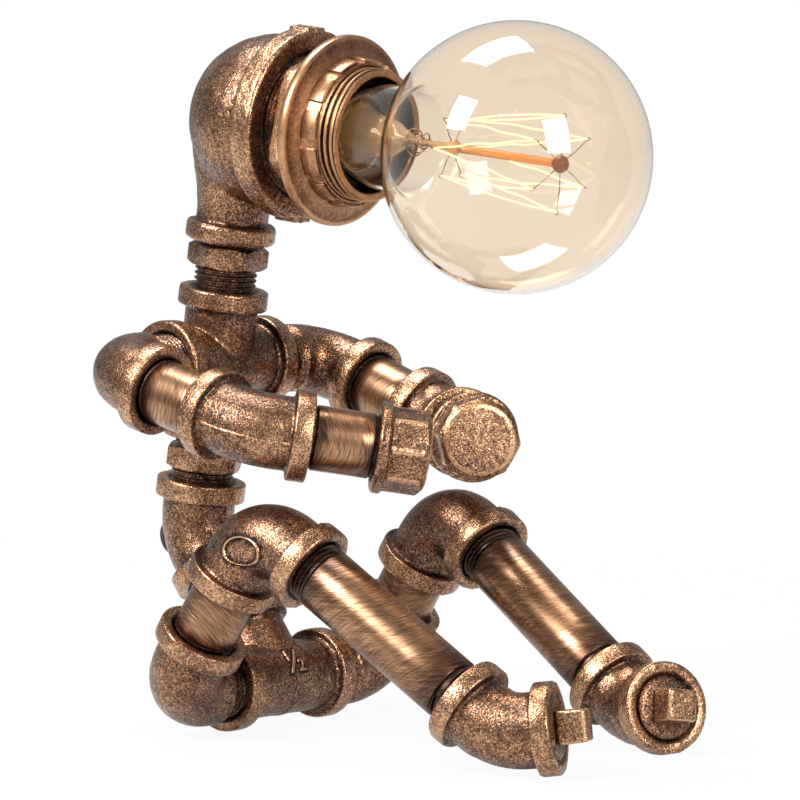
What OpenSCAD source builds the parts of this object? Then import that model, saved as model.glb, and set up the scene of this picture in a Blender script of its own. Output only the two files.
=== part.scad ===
// Desk lamp shaped like a seated robot, put together from threaded pipe fittings.
// The figure faces -Y, its right hand side is -X, and it stands on z = 0.
// Every fitting is drawn in a frame of its own: z runs along the port and the centre is at the origin.

/* [Pipe and threads] */
// Outside diameter of the pipe
pipe_d = 21.3; // [20.5:0.1:22]
// Wall thickness of the pipe
pipe_wall = 2.6; // [2:0.1:3.2]
// Depth by which a thread is cut below the pipe's surface
thread_cut = 0.2; // [0.1:0.05:0.4]
// Length of thread that sits inside a fitting
thread_in = 11.5; // [9:0.5:13]
// Length of thread left showing beside a fitting on the long pipes
thread_out = 5; // [3:0.5:8]
// Gap all round between a male thread and its socket
thread_play = 0.05; // [0.02:0.01:0.08]

/* [Fittings] */
// Height of the reinforcing band round every port
band_w = 6.4; // [5:0.1:7.5]
// Metal between the socket and the outside of the band
band_wall = 4.5; // [3.5:0.1:5.5]
// Radius of the band's rounded corners
band_round = 0.9; // [0.4:0.1:1.4]
// Diameter of the waterway through a fitting
waterway_d = 18; // [15:0.5:18.5]
// Wall of the casting between its bands
cast_wall = 3.1; // [2.5:0.1:3.6]
// Depth of the threaded socket in each port
socket_depth = 14.5; // [14.4:0.1:15]
// Depth of the countersink at each port's mouth
countersink = 0.8; // [0.4:0.1:1.2]
// Centre to face of the elbows, tee and cross
square_reach = 25.5; // [25:0.5:30]
// Centre to face of the torso's and the feet's 45 degree elbows
angle_reach = 18.2; // [17.6:0.2:24]
// Centre to face of the arms' 45 degree elbows
arm_reach = 19.2; // [17.6:0.2:24]
// Bend radius of the 90 degree elbows
square_bend = 14.2; // [13.5:0.1:15.5]
// Bend radius and body diameter of the shoulders' street elbows
shoulder_bend = 16.5; // [13.5:0.1:18.5]
shoulder_body = 23; // [22.4:0.1:24.4]
// Bend radius of the 45 degree elbows
angle_bend = 21; // [17:0.5:24]
// Depth of the sockets in the 45 degree elbows
angle_socket = 12.2; // [11.8:0.1:13]
// Centre to male end of the street elbows
street_reach = 37.6; // [37.5:0.1:40]

/* [Hexagon nipples] */
// Width across flats of the hexagon
hex_af = 23.4; // [22.5:0.1:26]
// Height of the hexagon
hex_h = 7.2; // [5:0.1:8]
// Thread showing below the neck's hexagon
neck_below = 7.4; // [4:0.1:9]
// Thread showing above the neck's hexagon
neck_above = 1.4; // [0.8:0.1:4]
// Thread showing below the waist's hexagon
waist_below = 4; // [2:0.1:6]
// Thread showing above the waist's hexagon
waist_above = 3.3; // [1:0.1:5]

/* [Limbs] */
// Pipe showing between pelvis and torso
torso_show = 15; // [8:0.5:20]
// Pipe showing on the right and left thighs
thigh_show = [19.5, 15.1]; // [12:0.1:30]
// Pipe showing on the shins
shin_show = 67.1; // [50:0.1:90]
// Pipe showing on the right and left upper arms
upper_arm_show = [21.8, 20.1]; // [12:0.1:30]
// Pipe showing on the forearms
forearm_show = 21.2; // [12:0.1:30]
// Pelvis port to hip elbow centre
hip_stand = 23.3; // [23.2:0.1:26]
// Chest port to shoulder elbow centre
shoulder_stand = 26.7; // [23.5:0.1:28]

// Width across flats of the square toes
toe_af = 11; // [8:0.5:12]
// Height of the square toes beyond the foot's face
toe_out = 10; // [7:0.5:12]
// Width across flats of the eight sided hand caps
cap_af = 25.8; // [25:0.2:28]
// Length of the hand caps
cap_body = 17.4; // [17:0.2:24]
// Height of the hand caps' band
cap_band_w = 3.8; // [3:0.1:6.4]

/* [Pose] */
// Backward lean of the tee's branch
seat_lean = 36.8; // [30:0.1:45]
// Turn of the torso elbow in the branch
torso_turn = 1.5; // [-5:0.5:5]
// Forward lean of the right and left thighs from upright
thigh_lean = [33.38, 32.32]; // [25:0.01:45]
// Inward turn of the right and left shins
shin_turn = [6, 7.3]; // [0:0.1:12]
// Turn of the right and left feet about the shin, 90 bends them straight up
foot_turn = [56.4, 69.7]; // [40:0.1:120]
// Drop of the right and left upper arms below level
arm_drop = [5.4, 11.1]; // [-30:0.1:12]
// Turn of the right and left forearms, 0 bends them straight inward and 90 up
arm_turn = [2.3, 22.3]; // [0:0.1:60]
// Turn of the square toes about the feet
toe_turn = [20, 22]; // [0:1:90]
// Turn of the eight sided caps about the forearms
cap_turn = [8, 0]; // [0:1:45]
// Turn of the neck's and the waist's hexagons
hex_turn = [11, 34]; // [0:1:59]
// Turn of the head on the neck
head_turn = 2; // [-20:0.5:20]
// Upward tilt of the head's mouth
head_rake = 3; // [0:0.5:6]

/* [Head] */
// Head centre to the face of its small port
head_drop = 42.5; // [40:0.5:48]
// Head centre to the face of its mouth
head_reach = 28.9; // [27:0.1:32]
// Outside diameter of the mouth's band
mouth_band_d = 63.2; // [60:0.2:66]
// Height of the mouth's band
mouth_band_w = 9.4; // [8:0.1:11]
// Diameter of the rounded skull
skull_d = 56.6; // [56:0.2:60]
// Centre of the skull ahead of the head centre
skull_ahead = 13.2; // [11:0.1:14]
// Diameter over the mouth's thread
mouth_thread_d = 47.8; // [47:0.1:50]
// Depth of the mouth's thread
mouth_depth = 17; // [15:0.5:18]

/* [Mouth bushing] */
// Width across flats of the bushing's hexagon
collar_af = 51.4; // [50:0.2:54]
// Height of the hexagon
collar_h = 5.8; // [4:0.1:8]
// Gap from the mouth's face to the hexagon
collar_stand = 5.8; // [3:0.1:7]
// Length of bushing thread inside the head
bushing_in = 9; // [7:0.5:12]
// Turn of the hexagon about the mouth's axis
collar_turn = 20; // [0:1:59]

/* [Lampholder] */
// Diameter over the skirt's thread
skirt_d = 44; // [43:0.1:44.4]
// Thickness of the skirt under its thread
skirt_wall = 1.5; // [1.2:0.1:2]
// Height of the lip inside the skirt that the ceramic rests behind
skirt_lip = 0.6; // [0.4:0.1:1]
// Height of the skirt's thread ridges
skirt_ridge = 0.7; // [0.3:0.1:0.9]
// Spacing of the skirt's thread ridges
skirt_pitch = 2.6; // [2.2:0.1:3]
// Length of skirt ahead of the hexagon
skirt_out = 17; // [15:0.5:20]
// Gap round the skirt in the bushing
skirt_gap = 0.2; // [0.1:0.05:0.3]
// Diameter of the ring nut's flange
ring_d = 63.2; // [60:0.2:66]
// Thickness of the ring nut's flange
ring_flange = 3.8; // [2.5:0.1:5]
// Diameter of the ring nut's grip
ring_grip_d = 50; // [48:0.2:54]
// Height of the ring nut's grip
ring_grip_h = 7; // [5:0.1:9]
// Number of notches round the grip
ring_notches = 12; // [8:1:18]
// Width of those notches
notch_w = 2.8; // [1.5:0.1:4]
// Turn of the ring nut on its thread
ring_turn = 8; // [0:1:29]
// Gap between the ring nut and the skirt's thread
ring_play = 0.06; // [0.03:0.01:0.09]

/* [Bulb] */
// Diameter of the glass globe
globe_d = 88; // [80:0.5:95]
// Globe centre ahead of the bushing's hexagon
globe_out = 75.2; // [72:0.2:84]
// Thickness of the glass
glass_wall = 1; // [0.8:0.1:1.5]
// Diameter of the glass neck
glass_neck_d = 35; // [32:0.5:36]
// Diameter over the cap's thread
cap_d = 26.4; // [26:0.1:26.6]
// Length of the cap's metal shell
cap_len = 21; // [20:0.5:24]
// Length of glass neck between the cap and the globe's centre
neck_len = 65; // [62:0.5:70]
// Gap between the cap and the lampholder's screw shell
cap_play = 0.08; // [0.04:0.01:0.1]
// Number of filament legs round the stem
filament_legs = 12; // [8:2:16]
// Thickness of the filament
filament_d = 0.8; // [0.5:0.1:1.2]
// Radius of the filament cage at its back and front ends
cage_r = [10.5, 15.5]; // [8:0.5:18]
// Ends of the filament cage, from the globe's centre
cage_ends = [-26, 18]; // [-32:1:24]
// Thickness of the support wires
wire_d = 0.5; // [0.3:0.1:0.8]

/* [Cable entry] */
// Bore of the cable bushing
entry_bore = 7; // [6:0.1:7.5]
// Wall of the cable bushing
entry_wall = 1.2; // [1:0.1:1.5]
// Diameter of the cable bushing's flange
entry_flange = 12.6; // [12:0.2:14]

/* [Hidden] */
$fn = 64;
eps = 0.01;
lap = 0.5;
proud = 0.15;

// Place of the tee's centre over the middle of the figure's footprint
seat_y = 55.26;
seat_x = -0.72;

bronze = [0.42, 0.29, 0.20];
bronze_dark = [0.33, 0.23, 0.17];
bronze_pipe = [0.52, 0.38, 0.26];
brass = [0.72, 0.58, 0.33];

RIGHT = 0;
LEFT = 1;
thread_d = pipe_d - 2 * thread_cut;
pipe_bore = pipe_d - 2 * pipe_wall;
socket_d = thread_d + 2 * thread_play;
neck_d = waterway_d + 2 * cast_wall;
band_d = socket_d + 2 * band_wall;
seat_z = band_d / 2;

// Heights along the mouth's axis, measured from the head's centre
collar_z = head_reach + collar_stand;
web_z = collar_z + collar_h;
bushing_back = head_reach - bushing_in;
skirt_mouth = web_z + skirt_out;
skirt_r = skirt_d / 2;
skirt_root = skirt_r - skirt_ridge;
skirt_in = skirt_root - skirt_wall;
shoulder_t = 2.4;
shoulder_r = mouth_thread_d / 2 - 0.5;
globe_z = web_z + globe_out;
globe_r = globe_d / 2;
cap_r = cap_d / 2;
cap_front = globe_z - neck_len;
cap_back = cap_front - cap_len;
tip_back = cap_back - 5.2;
shell_in = cap_r + cap_play;
shell_wall = 0.5;
ceramic_r = skirt_in - 0.1;
ceramic_back = cap_back - 8.4;
ceramic_front = cap_front - 6;
contact_t = 0.4;
contact_gap = 0.1;
screw_x = 14;

// ---------- Frames ----------

module pelvis() translate([seat_x, seat_y, seat_z]) children();

// Mirrors a limb that is drawn on the right over to the left
module on_side(side) {
    if (side == LEFT) mirror([1, 0, 0]) children();
    else children();
}

module ahead(z) translate([0, 0, z]) children();

module torso() pelvis() rotate([-seat_lean, 0, 0]) ahead(square_reach + torso_show + angle_reach)
    rotate([0, 0, 180 + torso_turn]) children();

module spine() torso() rotate([-45, 0, 0]) rotate([0, 0, 180 - torso_turn]) children();

waist_show = waist_below + hex_h + waist_above;
neck_show = neck_below + hex_h + neck_above;

module chest() spine() ahead(angle_reach + waist_show + square_reach) children();

module head() chest() ahead(square_reach + neck_show + head_drop)
    rotate([0, 0, head_turn]) children();

// z runs out of the mouth
module mouth() head() rotate([90 - head_rake, 0, 0]) children();

module hip(side) pelvis() on_side(side) rotate([0, -90, 0]) ahead(square_reach + hip_stand)
    rotate([0, 0, -90 - thigh_lean[side]]) children();

module thigh(side) hip(side) rotate([-90, 0, 0]) ahead(square_reach) children();

module knee(side) thigh(side) ahead(thigh_show[side] + square_reach)
    rotate([0, 0, shin_turn[side] - 90]) children();

module shin(side) knee(side) rotate([-90, 0, 0]) ahead(square_reach) children();

module ankle(side) shin(side) ahead(shin_show + angle_reach)
    rotate([0, 0, 90 + foot_turn[side]]) children();

module toe(side) ankle(side) rotate([-45, 0, 0]) ahead(angle_reach) children();

module shoulder(side) chest() on_side(side) rotate([0, -90, 0]) ahead(square_reach + shoulder_stand)
    rotate([0, 0, 180 - arm_drop[side]]) children();

module upper_arm(side) shoulder(side) rotate([-90, 0, 0]) ahead(square_reach) children();

module arm_elbow(side) upper_arm(side) ahead(upper_arm_show[side] + arm_reach)
    rotate([0, 0, arm_turn[side]]) children();

module forearm(side) arm_elbow(side) rotate([-45, 0, 0]) ahead(arm_reach) children();

module hand(side) forearm(side) ahead(forearm_show) children();

// ---------- Shapes that repeat ----------

// Disc with rounded edges between z = 0 and z = h
module rounded_disc(r, h, c) {
    rotate_extrude() polygon(concat(
        [[0, 0]],
        [for (a = [-90:30:0]) [r - c + c * cos(a), c + c * sin(a)]],
        [for (a = [0:30:90]) [r - c + c * cos(a), h - c + c * sin(a)]],
        [[0, h]]));
}

// Cast port: neck from start to the band, whose face is at reach. The neck laps the bend and stands a hair
// proud of it.
module port(start, reach, body = neck_d) {
    ahead(start - lap) cylinder(d = body + 2 * proud, h = reach - band_w / 2 - start + lap);
    ahead(reach - band_w) rounded_disc(band_d / 2, band_w, band_round);
}

// What is cut out of a port: socket, countersink and waterway
module port_bore(start, reach, depth = socket_depth) {
    ahead(reach - depth) cylinder(d = socket_d, h = depth + 1);
    ahead(reach - countersink) cylinder(d1 = socket_d, d2 = socket_d + 4 * countersink, h = 2 * countersink);
    ahead(start) cylinder(d = waterway_d, h = reach - start);
}

// Curved tube that comes up along z and leaves at angle to it
module bend_tube(angle, r, d)
    translate([0, r, -r * tan(angle / 2)]) rotate([90, 0, -90])
        rotate_extrude(angle = angle) translate([r, 0]) circle(d = d);

module elbow(angle, reach, r, depth = socket_depth) {
    t = r * tan(angle / 2);
    difference() {
        union() {
            bend_tube(angle, r, neck_d);
            rotate([180, 0, 0]) port(t, reach);
            rotate([-angle, 0, 0]) port(t, reach);
        }
        bend_tube(angle, r, waterway_d - 0.4);
        rotate([180, 0, 0]) port_bore(t - 0.3, reach, depth);
        rotate([-angle, 0, 0]) port_bore(t - 0.3, reach, depth);
    }
}

// 90 degree elbow whose lower port is a male thread
module street_elbow(bend, body) {
    waist = square_reach - band_w;
    taper = 1.6;
    difference() {
        union() {
            bend_tube(90, bend, body);
            rotate([-90, 0, 0]) port(bend, square_reach, body);
            rotate([180, 0, 0]) {
                ahead(bend) cylinder(d = body, h = waist - taper - bend);
                ahead(waist - taper) cylinder(d1 = body, d2 = thread_d, h = taper);
                ahead(waist) cylinder(d = thread_d, h = street_reach - waist - 1);
                ahead(street_reach - 1) cylinder(d1 = thread_d, d2 = thread_d - 1.6, h = 1);
            }
        }
        bend_tube(90, bend, pipe_bore - 0.4);
        rotate([-90, 0, 0]) port_bore(bend - 0.3, square_reach);
        rotate([180, 0, 0]) ahead(bend - 0.3) cylinder(d = pipe_bore, h = street_reach);
    }
}

// Pipe whose threaded ends go into the fittings at z = 0 and z = show
module nipple(show, out) {
    total = show + 2 * thread_in;
    difference() {
        ahead(-thread_in) rotate_extrude() polygon([
            [0, 0], [thread_d / 2 - 0.8, 0], [thread_d / 2, 0.8],
            [thread_d / 2, thread_in + out], [pipe_d / 2, thread_in + out + thread_cut],
            [pipe_d / 2, total - thread_in - out - thread_cut], [thread_d / 2, total - thread_in - out],
            [thread_d / 2, total - 0.8], [thread_d / 2 - 0.8, total], [0, total]]);
        ahead(-thread_in - 1) cylinder(d = pipe_bore, h = total + 2);
    }
}

// Hexagon with both ends turned down to a chamfer
module hexagon(af, h, chamfer) {
    r = af / 2 / cos(30);
    intersection() {
        cylinder(r = r, h = h, $fn = 6);
        rotate_extrude() polygon([
            [0, 0], [r - chamfer, 0], [r + eps, chamfer * 0.58], [r + eps, h - chamfer * 0.58],
            [r - chamfer, h], [0, h]]);
    }
}

// Nipple with a hexagon between its threads
module hex_nipple(below, above) {
    total = below + hex_h + above + 2 * thread_in;
    difference() {
        union() {
            ahead(-thread_in) rotate_extrude() polygon([
                [0, 0], [thread_d / 2 - 0.8, 0], [thread_d / 2, 0.8],
                [thread_d / 2, total - 0.8], [thread_d / 2 - 0.8, total], [0, total]]);
            ahead(below) hexagon(hex_af, hex_h, 1.6);
        }
        ahead(-thread_in - 1) cylinder(d = pipe_bore, h = total + 2);
    }
}

// ---------- Trunk ----------

module pelvis_tee() color(bronze) pelvis() difference() {
    union() {
        for (s = [-90, 90]) rotate([0, s, 0]) port(0, square_reach);
        rotate([-seat_lean, 0, 0]) port(0, square_reach);
    }
    for (s = [-90, 90]) rotate([0, s, 0]) port_bore(-1, square_reach);
    rotate([-seat_lean, 0, 0]) port_bore(0, square_reach);
}

module torso_nipple() color(bronze_pipe) pelvis() rotate([-seat_lean, 0, 0])
    ahead(square_reach) nipple(torso_show, 0.5);

// Where the cable bushing goes through the back of the torso elbow, z points outward
entry_r = neck_d / 2 - 1.1;
module entry() torso() translate([0, angle_bend, -angle_bend * tan(22.5)])
    rotate([90 - 22.5, 0, 0]) ahead(angle_bend + entry_r) children();

module torso_elbow() color(bronze) difference() {
    torso() elbow(45, angle_reach, angle_bend, angle_socket);
    entry() cylinder(d = entry_flange + 1, h = 10);
    entry() ahead(-6) cylinder(d = entry_bore + 2 * entry_wall + 0.1, h = 10);
}

module cable_bushing() color([0.08, 0.08, 0.08]) entry() difference() {
    union() {
        rounded_disc(entry_flange / 2, 2, 0.5);
        ahead(-4.5) cylinder(d = entry_bore + 2 * entry_wall, h = 5);
    }
    ahead(-5) cylinder(d = entry_bore, h = 8);
}

module waist_nipple() color(bronze) spine() ahead(angle_reach) rotate([0, 0, hex_turn[1]])
    hex_nipple(waist_below, waist_above);

module chest_cross() color(bronze) chest() difference() {
    union() {
        sphere(d = neck_d + 1.6);
        for (s = [-90, 90]) rotate([0, s, 0]) port(0, square_reach);
        port(0, square_reach);
        rotate([180, 0, 0]) port(0, square_reach);
    }
    for (s = [-90, 90]) rotate([0, s, 0]) port_bore(-1, square_reach);
    port_bore(-1, square_reach);
    rotate([180, 0, 0]) port_bore(0, square_reach);
}

module neck_nipple() color(bronze) chest() ahead(square_reach) rotate([0, 0, hex_turn[0]])
    hex_nipple(neck_below, neck_above);

// ---------- Head ----------

// The flared neck that runs up into the skull and closes inside it
module head_neck() {
    low = band_w / 2 + 1;
    rise = head_drop - band_w - 4;
    flare = skull_d * 0.3 - neck_d / 2;
    ahead(-head_drop + band_w / 2) rotate_extrude() polygon(concat(
        [[0, 0], [neck_d / 2, 0]],
        [for (i = [0:8]) [neck_d / 2 + flare * (1 - cos(i * 180 / 8)) / 2, low + rise * i / 8]],
        [for (i = [1:4]) [skull_d * 0.3 - 6 * (1 - cos(i * 20)), low + rise + 12 * sin(i * 20)]],
        [[0, low + rise + 12]]));
}

module head_elbow() color(bronze) {
    cavity = skull_d - 2 * 3.4;
    difference() {
        union() {
            head() head_neck();
            head() ahead(-head_drop) rounded_disc(band_d / 2, band_w, band_round);
            mouth() ahead(skull_ahead) sphere(d = skull_d, $fn = 96);
            mouth() ahead(skull_ahead) cylinder(d = skull_d - 0.8, h = head_reach - skull_ahead - 2);
            mouth() ahead(head_reach - mouth_band_w)
                rounded_disc(mouth_band_d / 2, mouth_band_w, 1.2);
        }
        mouth() ahead(skull_ahead) sphere(d = cavity, $fn = 96);
        mouth() ahead(head_reach - mouth_depth)
            cylinder(d = mouth_thread_d + 2 * thread_play, h = mouth_depth + 1);
        mouth() ahead(head_reach - 1) cylinder(d1 = mouth_thread_d, d2 = mouth_thread_d + 4, h = 2);
        mouth() ahead(head_reach) cylinder(d = skull_d, h = skull_d);
        head() ahead(-head_drop - 1) cylinder(d = socket_d, h = socket_depth + 1);
        head() ahead(-head_drop - countersink)
            cylinder(d1 = socket_d + 4 * countersink, d2 = socket_d, h = 2 * countersink);
        head() ahead(-head_drop) cylinder(d = waterway_d, h = head_drop);
    }
}

module mouth_bushing() color(bronze) mouth() difference() {
    union() {
        ahead(bushing_back) cylinder(d = mouth_thread_d, h = collar_z - bushing_back + 1);
        ahead(collar_z) rotate([0, 0, collar_turn]) hexagon(collar_af, collar_h, 2);
    }
    ahead(bushing_back - 1) cylinder(r = skirt_r + skirt_gap, h = collar_z + collar_h);
}

// ---------- Lampholder ----------

module holder_skirt() color(bronze_dark) mouth() {
    ridge_n = floor((skirt_mouth - bushing_back - 2) / skirt_pitch);
    difference() {
        union() {
            ahead(bushing_back - shoulder_t) cylinder(r = shoulder_r, h = shoulder_t);
            rotate_extrude() polygon(concat(
                [[0, bushing_back - eps], [skirt_root, bushing_back - eps]],
                [for (i = [0:ridge_n - 1], k = [0:3]) [
                    k == 1 || k == 2 ? skirt_r : skirt_root,
                    bushing_back + 1 + skirt_pitch * (i + [0.1, 0.4, 0.6, 0.9][k])]],
                [[skirt_root, skirt_mouth], [0, skirt_mouth]]));
        }
        ahead(bushing_back - shoulder_t - 1) cylinder(r = skirt_in - skirt_lip, h = skirt_mouth);
        ahead(bushing_back - shoulder_t - 1)
            cylinder(r = skirt_in, h = ceramic_front - bushing_back + shoulder_t + 1);
    }
}

// Domed back of the lampholder with the hole for the wires and the rim that holds the ceramic
module holder_cap() color(bronze_dark) mouth() {
    front = bushing_back - shoulder_t;
    rim = ceramic_back - front;
    ahead(front) difference() {
        rotate_extrude() polygon([
            [0, -15], [5, -15], [8, -12], [skirt_in - 2, -8], [shoulder_r - 0.6, -3], [shoulder_r - 0.6, 0],
            [ceramic_r, 0], [ceramic_r, rim], [0, rim]]);
        rotate_extrude() polygon([
            [0, -10.4], [5, -10.4], [skirt_in - 4, -6.6], [ceramic_r - 2, -2.4], [ceramic_r - 2, rim + 1],
            [0, rim + 1]]);
        ahead(-16) cylinder(d = 6, h = 10);
    }
}

module holder_ceramic() color([0.9, 0.88, 0.83]) mouth() difference() {
    ahead(ceramic_back) cylinder(r = ceramic_r, h = ceramic_front - ceramic_back);
    // pocket of the screw shell, well under the bulb's tip and slot of the contact
    ahead(cap_back - 3.9) cylinder(r = shell_in + shell_wall + 0.02, h = cap_len + 10);
    ahead(ceramic_back + 1.4) cylinder(r = 5.6, h = 5);
    ahead(tip_back - contact_gap - contact_t) translate([-10.4, -3, 0]) cube([10, 6, 3]);
    for (s = [-1, 1]) translate([s * screw_x, 0, ceramic_back - 1]) cylinder(d = screw_hole_d, h = 2.6);
    translate([-8, 0, ceramic_back - 1]) cylinder(d = 2.1, h = 5);
}

module holder_screw_shell() color(brass) mouth() difference() {
    ahead(cap_back - 3.9) cylinder(r = shell_in + shell_wall, h = cap_len - 0.6);
    ahead(cap_back - 3.4) cylinder(r = shell_in, h = cap_len + 1);
    ahead(cap_back - 5) cylinder(r = 8.5, h = 3);
}

// Spring tongue under the bulb's tip with the rivet that takes it through the ceramic
module holder_contact() color(brass) mouth() {
    tongue_z = tip_back - contact_gap - contact_t;
    ahead(tongue_z) translate([-10, -2.5, 0]) cube([12.5, 5, contact_t]);
    translate([-8, 0, ceramic_back - 0.8]) cylinder(d = 2, h = tongue_z + contact_t - ceramic_back + 0.9);
    translate([-8, 0, ceramic_back - 0.8]) cylinder(d = 3.6, h = 0.8);
}

// Terminal screws: their holes in the ceramic and their heads
screw_hole_d = 4;
screw_head_d = 5.4;
screw_head_h = 1.6;

module terminal_screws() color([0.75, 0.72, 0.66]) mouth()
    for (s = [-1, 1]) translate([s * screw_x, 0, ceramic_back]) difference() {
        union() {
            cylinder(d = screw_hole_d - 0.1, h = 1.5);
            ahead(-screw_head_h) cylinder(d = screw_head_d, h = screw_head_h);
        }
        translate([-3, -0.4, -1.7]) cube([6, 0.8, 0.8]);
    }

module ring_nut() color(bronze) mouth() {
    seat = web_z;
    grip_r = ring_grip_d / 2;
    difference() {
        union() {
            ahead(seat) rotate_extrude() polygon([
                [0, 0], [ring_d / 2 - 1.6, 0], [ring_d / 2 - 0.2, 0.9], [ring_d / 2, 1.5],
                [ring_d / 2, ring_flange - 0.8], [ring_d / 2 - 0.3, ring_flange - 0.2],
                [ring_d / 2 - 1, ring_flange], [grip_r + 0.8, ring_flange + 1.2], [0, ring_flange + 1.2]]);
            ahead(seat + ring_flange) rotate_extrude() polygon([
                [0, 0], [grip_r, 0], [grip_r - 0.6, ring_grip_h - 1], [grip_r - 1.4, ring_grip_h],
                [0, ring_grip_h]]);
        }
        ahead(seat - 1) cylinder(r = skirt_r + ring_play, h = ring_flange + ring_grip_h + 2);
        for (i = [0:ring_notches - 1]) rotate([0, 0, ring_turn + i * 360 / ring_notches])
            translate([grip_r - 1.1, -notch_w / 2, seat + ring_flange + 1.6])
                cube([3, notch_w, ring_grip_h]);
    }
}

// ---------- Bulb ----------

// Hole in the cap's foot, and the insulator that fills it: rim and nose radii, depth of its cone
foot_hole_r = 9;
foot_rim_r = 10.5;
foot_nose_r = 5;
foot_cone_h = 3.4;
foot_plug_h = 1.6;

module bulb_cap() color(brass) mouth() difference() {
    ahead(cap_back) cylinder(r = cap_r, h = cap_len);
    ahead(cap_back + 0.4) cylinder(r = cap_r - 0.5, h = cap_len);
    ahead(cap_back - 1) cylinder(r = foot_hole_r, h = 3);
}

module bulb_insulator() color([0.1, 0.1, 0.12]) mouth() ahead(cap_back) difference() {
    union() {
        mirror([0, 0, 1]) cylinder(r1 = foot_rim_r, r2 = foot_nose_r, h = foot_cone_h);
        cylinder(r = foot_hole_r - 0.05, h = foot_plug_h);
    }
    ahead(-4) cylinder(d = 2.4, h = 8);
}

module bulb_tip() color([0.75, 0.73, 0.7]) mouth() ahead(cap_back - foot_cone_h) mirror([0, 0, 1])
    rotate_extrude() polygon([[0, 0], [4.6, 0], [4.2, 0.9], [2.4, 1.6], [0, 1.8]]);

// Globe with its neck, which meets it in a fillet
module glass(r, neck_r, back) {
    fillet = 7;
    c = sqrt(pow(r + fillet, 2) - pow(neck_r + fillet, 2));
    top = atan2(c, neck_r + fillet);
    ahead(globe_z) sphere(r = r, $fn = 128);
    rotate_extrude() polygon(concat(
        [[0, back], [cap_r - 0.6, back]],
        [for (i = [0:5]) let (a = 18 * i) [
            cap_r - 0.6 + (neck_r - cap_r + 0.6) * sin(a), cap_front + 0.2 + 8 * (1 - cos(a))]],
        [for (i = [0:6]) let (a = top * i / 6) [
            neck_r + fillet - fillet * cos(a), globe_z - c + fillet * sin(a)]],
        [[0, globe_z - c + fillet * sin(top)]]));
}

module bulb_globe() color([0.93, 0.85, 0.72, 0.5]) mouth() difference() {
    glass(globe_r, glass_neck_d / 2, cap_front - 3);
    difference() {
        glass(globe_r - glass_wall, glass_neck_d / 2 - glass_wall, cap_front - 3);
        ahead(cap_front - 4) cylinder(r = 30, h = 2);
    }
    ahead(cap_front - 4) cylinder(r = stem_hole_r, h = 5);
}

// Glass stem: flare sealed to the neck's foot, pinch, rod and the two beads that hold the wires
stem_foot = cap_front - 2;
stem_hole_r = 8.2;
flare_r = 11.2;
flare_waist_r = 6.4;
flare_waist_h = 13;
pinch_r = 3.4;
stem_h = 23;
stem_pinch = stem_foot + stem_h;
bead_z = [globe_z + cage_ends[0], globe_z + cage_ends[1]];
bead_r = 2.6;
rod_r = 1.5;
module bulb_stem() color([0.9, 0.88, 0.85, 0.6]) mouth() {
    difference() {
        ahead(stem_foot) rotate_extrude() polygon([
            [0, -2], [stem_hole_r - 0.05, -2], [stem_hole_r - 0.05, 0], [flare_r, 0], [flare_r - 0.6, 1],
            [flare_waist_r, flare_waist_h], [pinch_r + 0.8, stem_h - 4], [pinch_r, stem_h], [0, stem_h]]);
        ahead(stem_foot) rotate_extrude() polygon([
            [0, -3], [7, -3], [7, 4], [flare_waist_r - 1.8, flare_waist_h], [0, stem_h - 6]]);
    }
    ahead(stem_pinch - 1) cylinder(r = rod_r, h = bead_z[1] - stem_pinch + 1);
    for (z = bead_z) ahead(z) sphere(r = bead_r);
}

// Corners of the filament cage: even ones lie at its back, odd ones at its front
function cage_point(i) = let (end = i % 2, a = 360 * i / filament_legs)
    [cage_r[end] * cos(a), cage_r[end] * sin(a), bead_z[end]];

// Round bar from point a to point b
module bar(a, b, d) {
    v = b - a;
    translate(a) rotate([0, 0, atan2(v[1], v[0])]) rotate([0, acos(v[2] / norm(v)), 0])
        cylinder(d = d, h = norm(v), $fn = 16);
}

module bulb_supports() color([0.55, 0.5, 0.45]) mouth()
    for (i = [0:filament_legs - 1]) let (tip = cage_point(i), foot = [0, 0, bead_z[i % 2]])
        bar(foot + (tip - foot) * (bead_r - 0.4) / norm(tip - foot), tip, wire_d);

module bulb_filament() color([0.95, 0.72, 0.35]) mouth() {
    for (i = [0:filament_legs - 1]) bar(cage_point(i), cage_point(i + 1), filament_d);
    for (i = [0:filament_legs - 1]) translate(cage_point(i)) sphere(d = filament_d + 0.3, $fn = 16);
}

// ---------- Legs ----------

module hip_elbow(side) color(bronze) hip(side) street_elbow(square_bend, neck_d);
module thigh_nipple(side) color(bronze_pipe) thigh(side) nipple(thigh_show[side], 1);
module knee_elbow(side) color(bronze) knee(side) elbow(90, square_reach, square_bend);
module shin_pipe(side) color(bronze_pipe) shin(side) nipple(shin_show, thread_out);
module foot_elbow(side) color(bronze) ankle(side) elbow(45, angle_reach, angle_bend, angle_socket);

// Square head plug, hollow behind, whose shoulder lies just inside the port's mouth
module toe_plug(side) color(bronze) toe(side) difference() {
    union() {
        ahead(-thread_in) cylinder(d = thread_d, h = thread_in - 0.6);
        ahead(-0.6) cylinder(d1 = thread_d, d2 = thread_d - 1.6, h = 0.8);
        rotate([0, 0, toe_turn[side]]) intersection() {
            translate([-toe_af / 2, -toe_af / 2, -0.6]) cube([toe_af, toe_af, toe_out + 0.6]);
            ahead(-0.6) cylinder(r1 = toe_af * 1.2, r2 = toe_af * 0.64, h = toe_out + 0.6);
        }
    }
    ahead(-thread_in - 1) cylinder(d = thread_d - 6, h = thread_in - 3);
}

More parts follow.
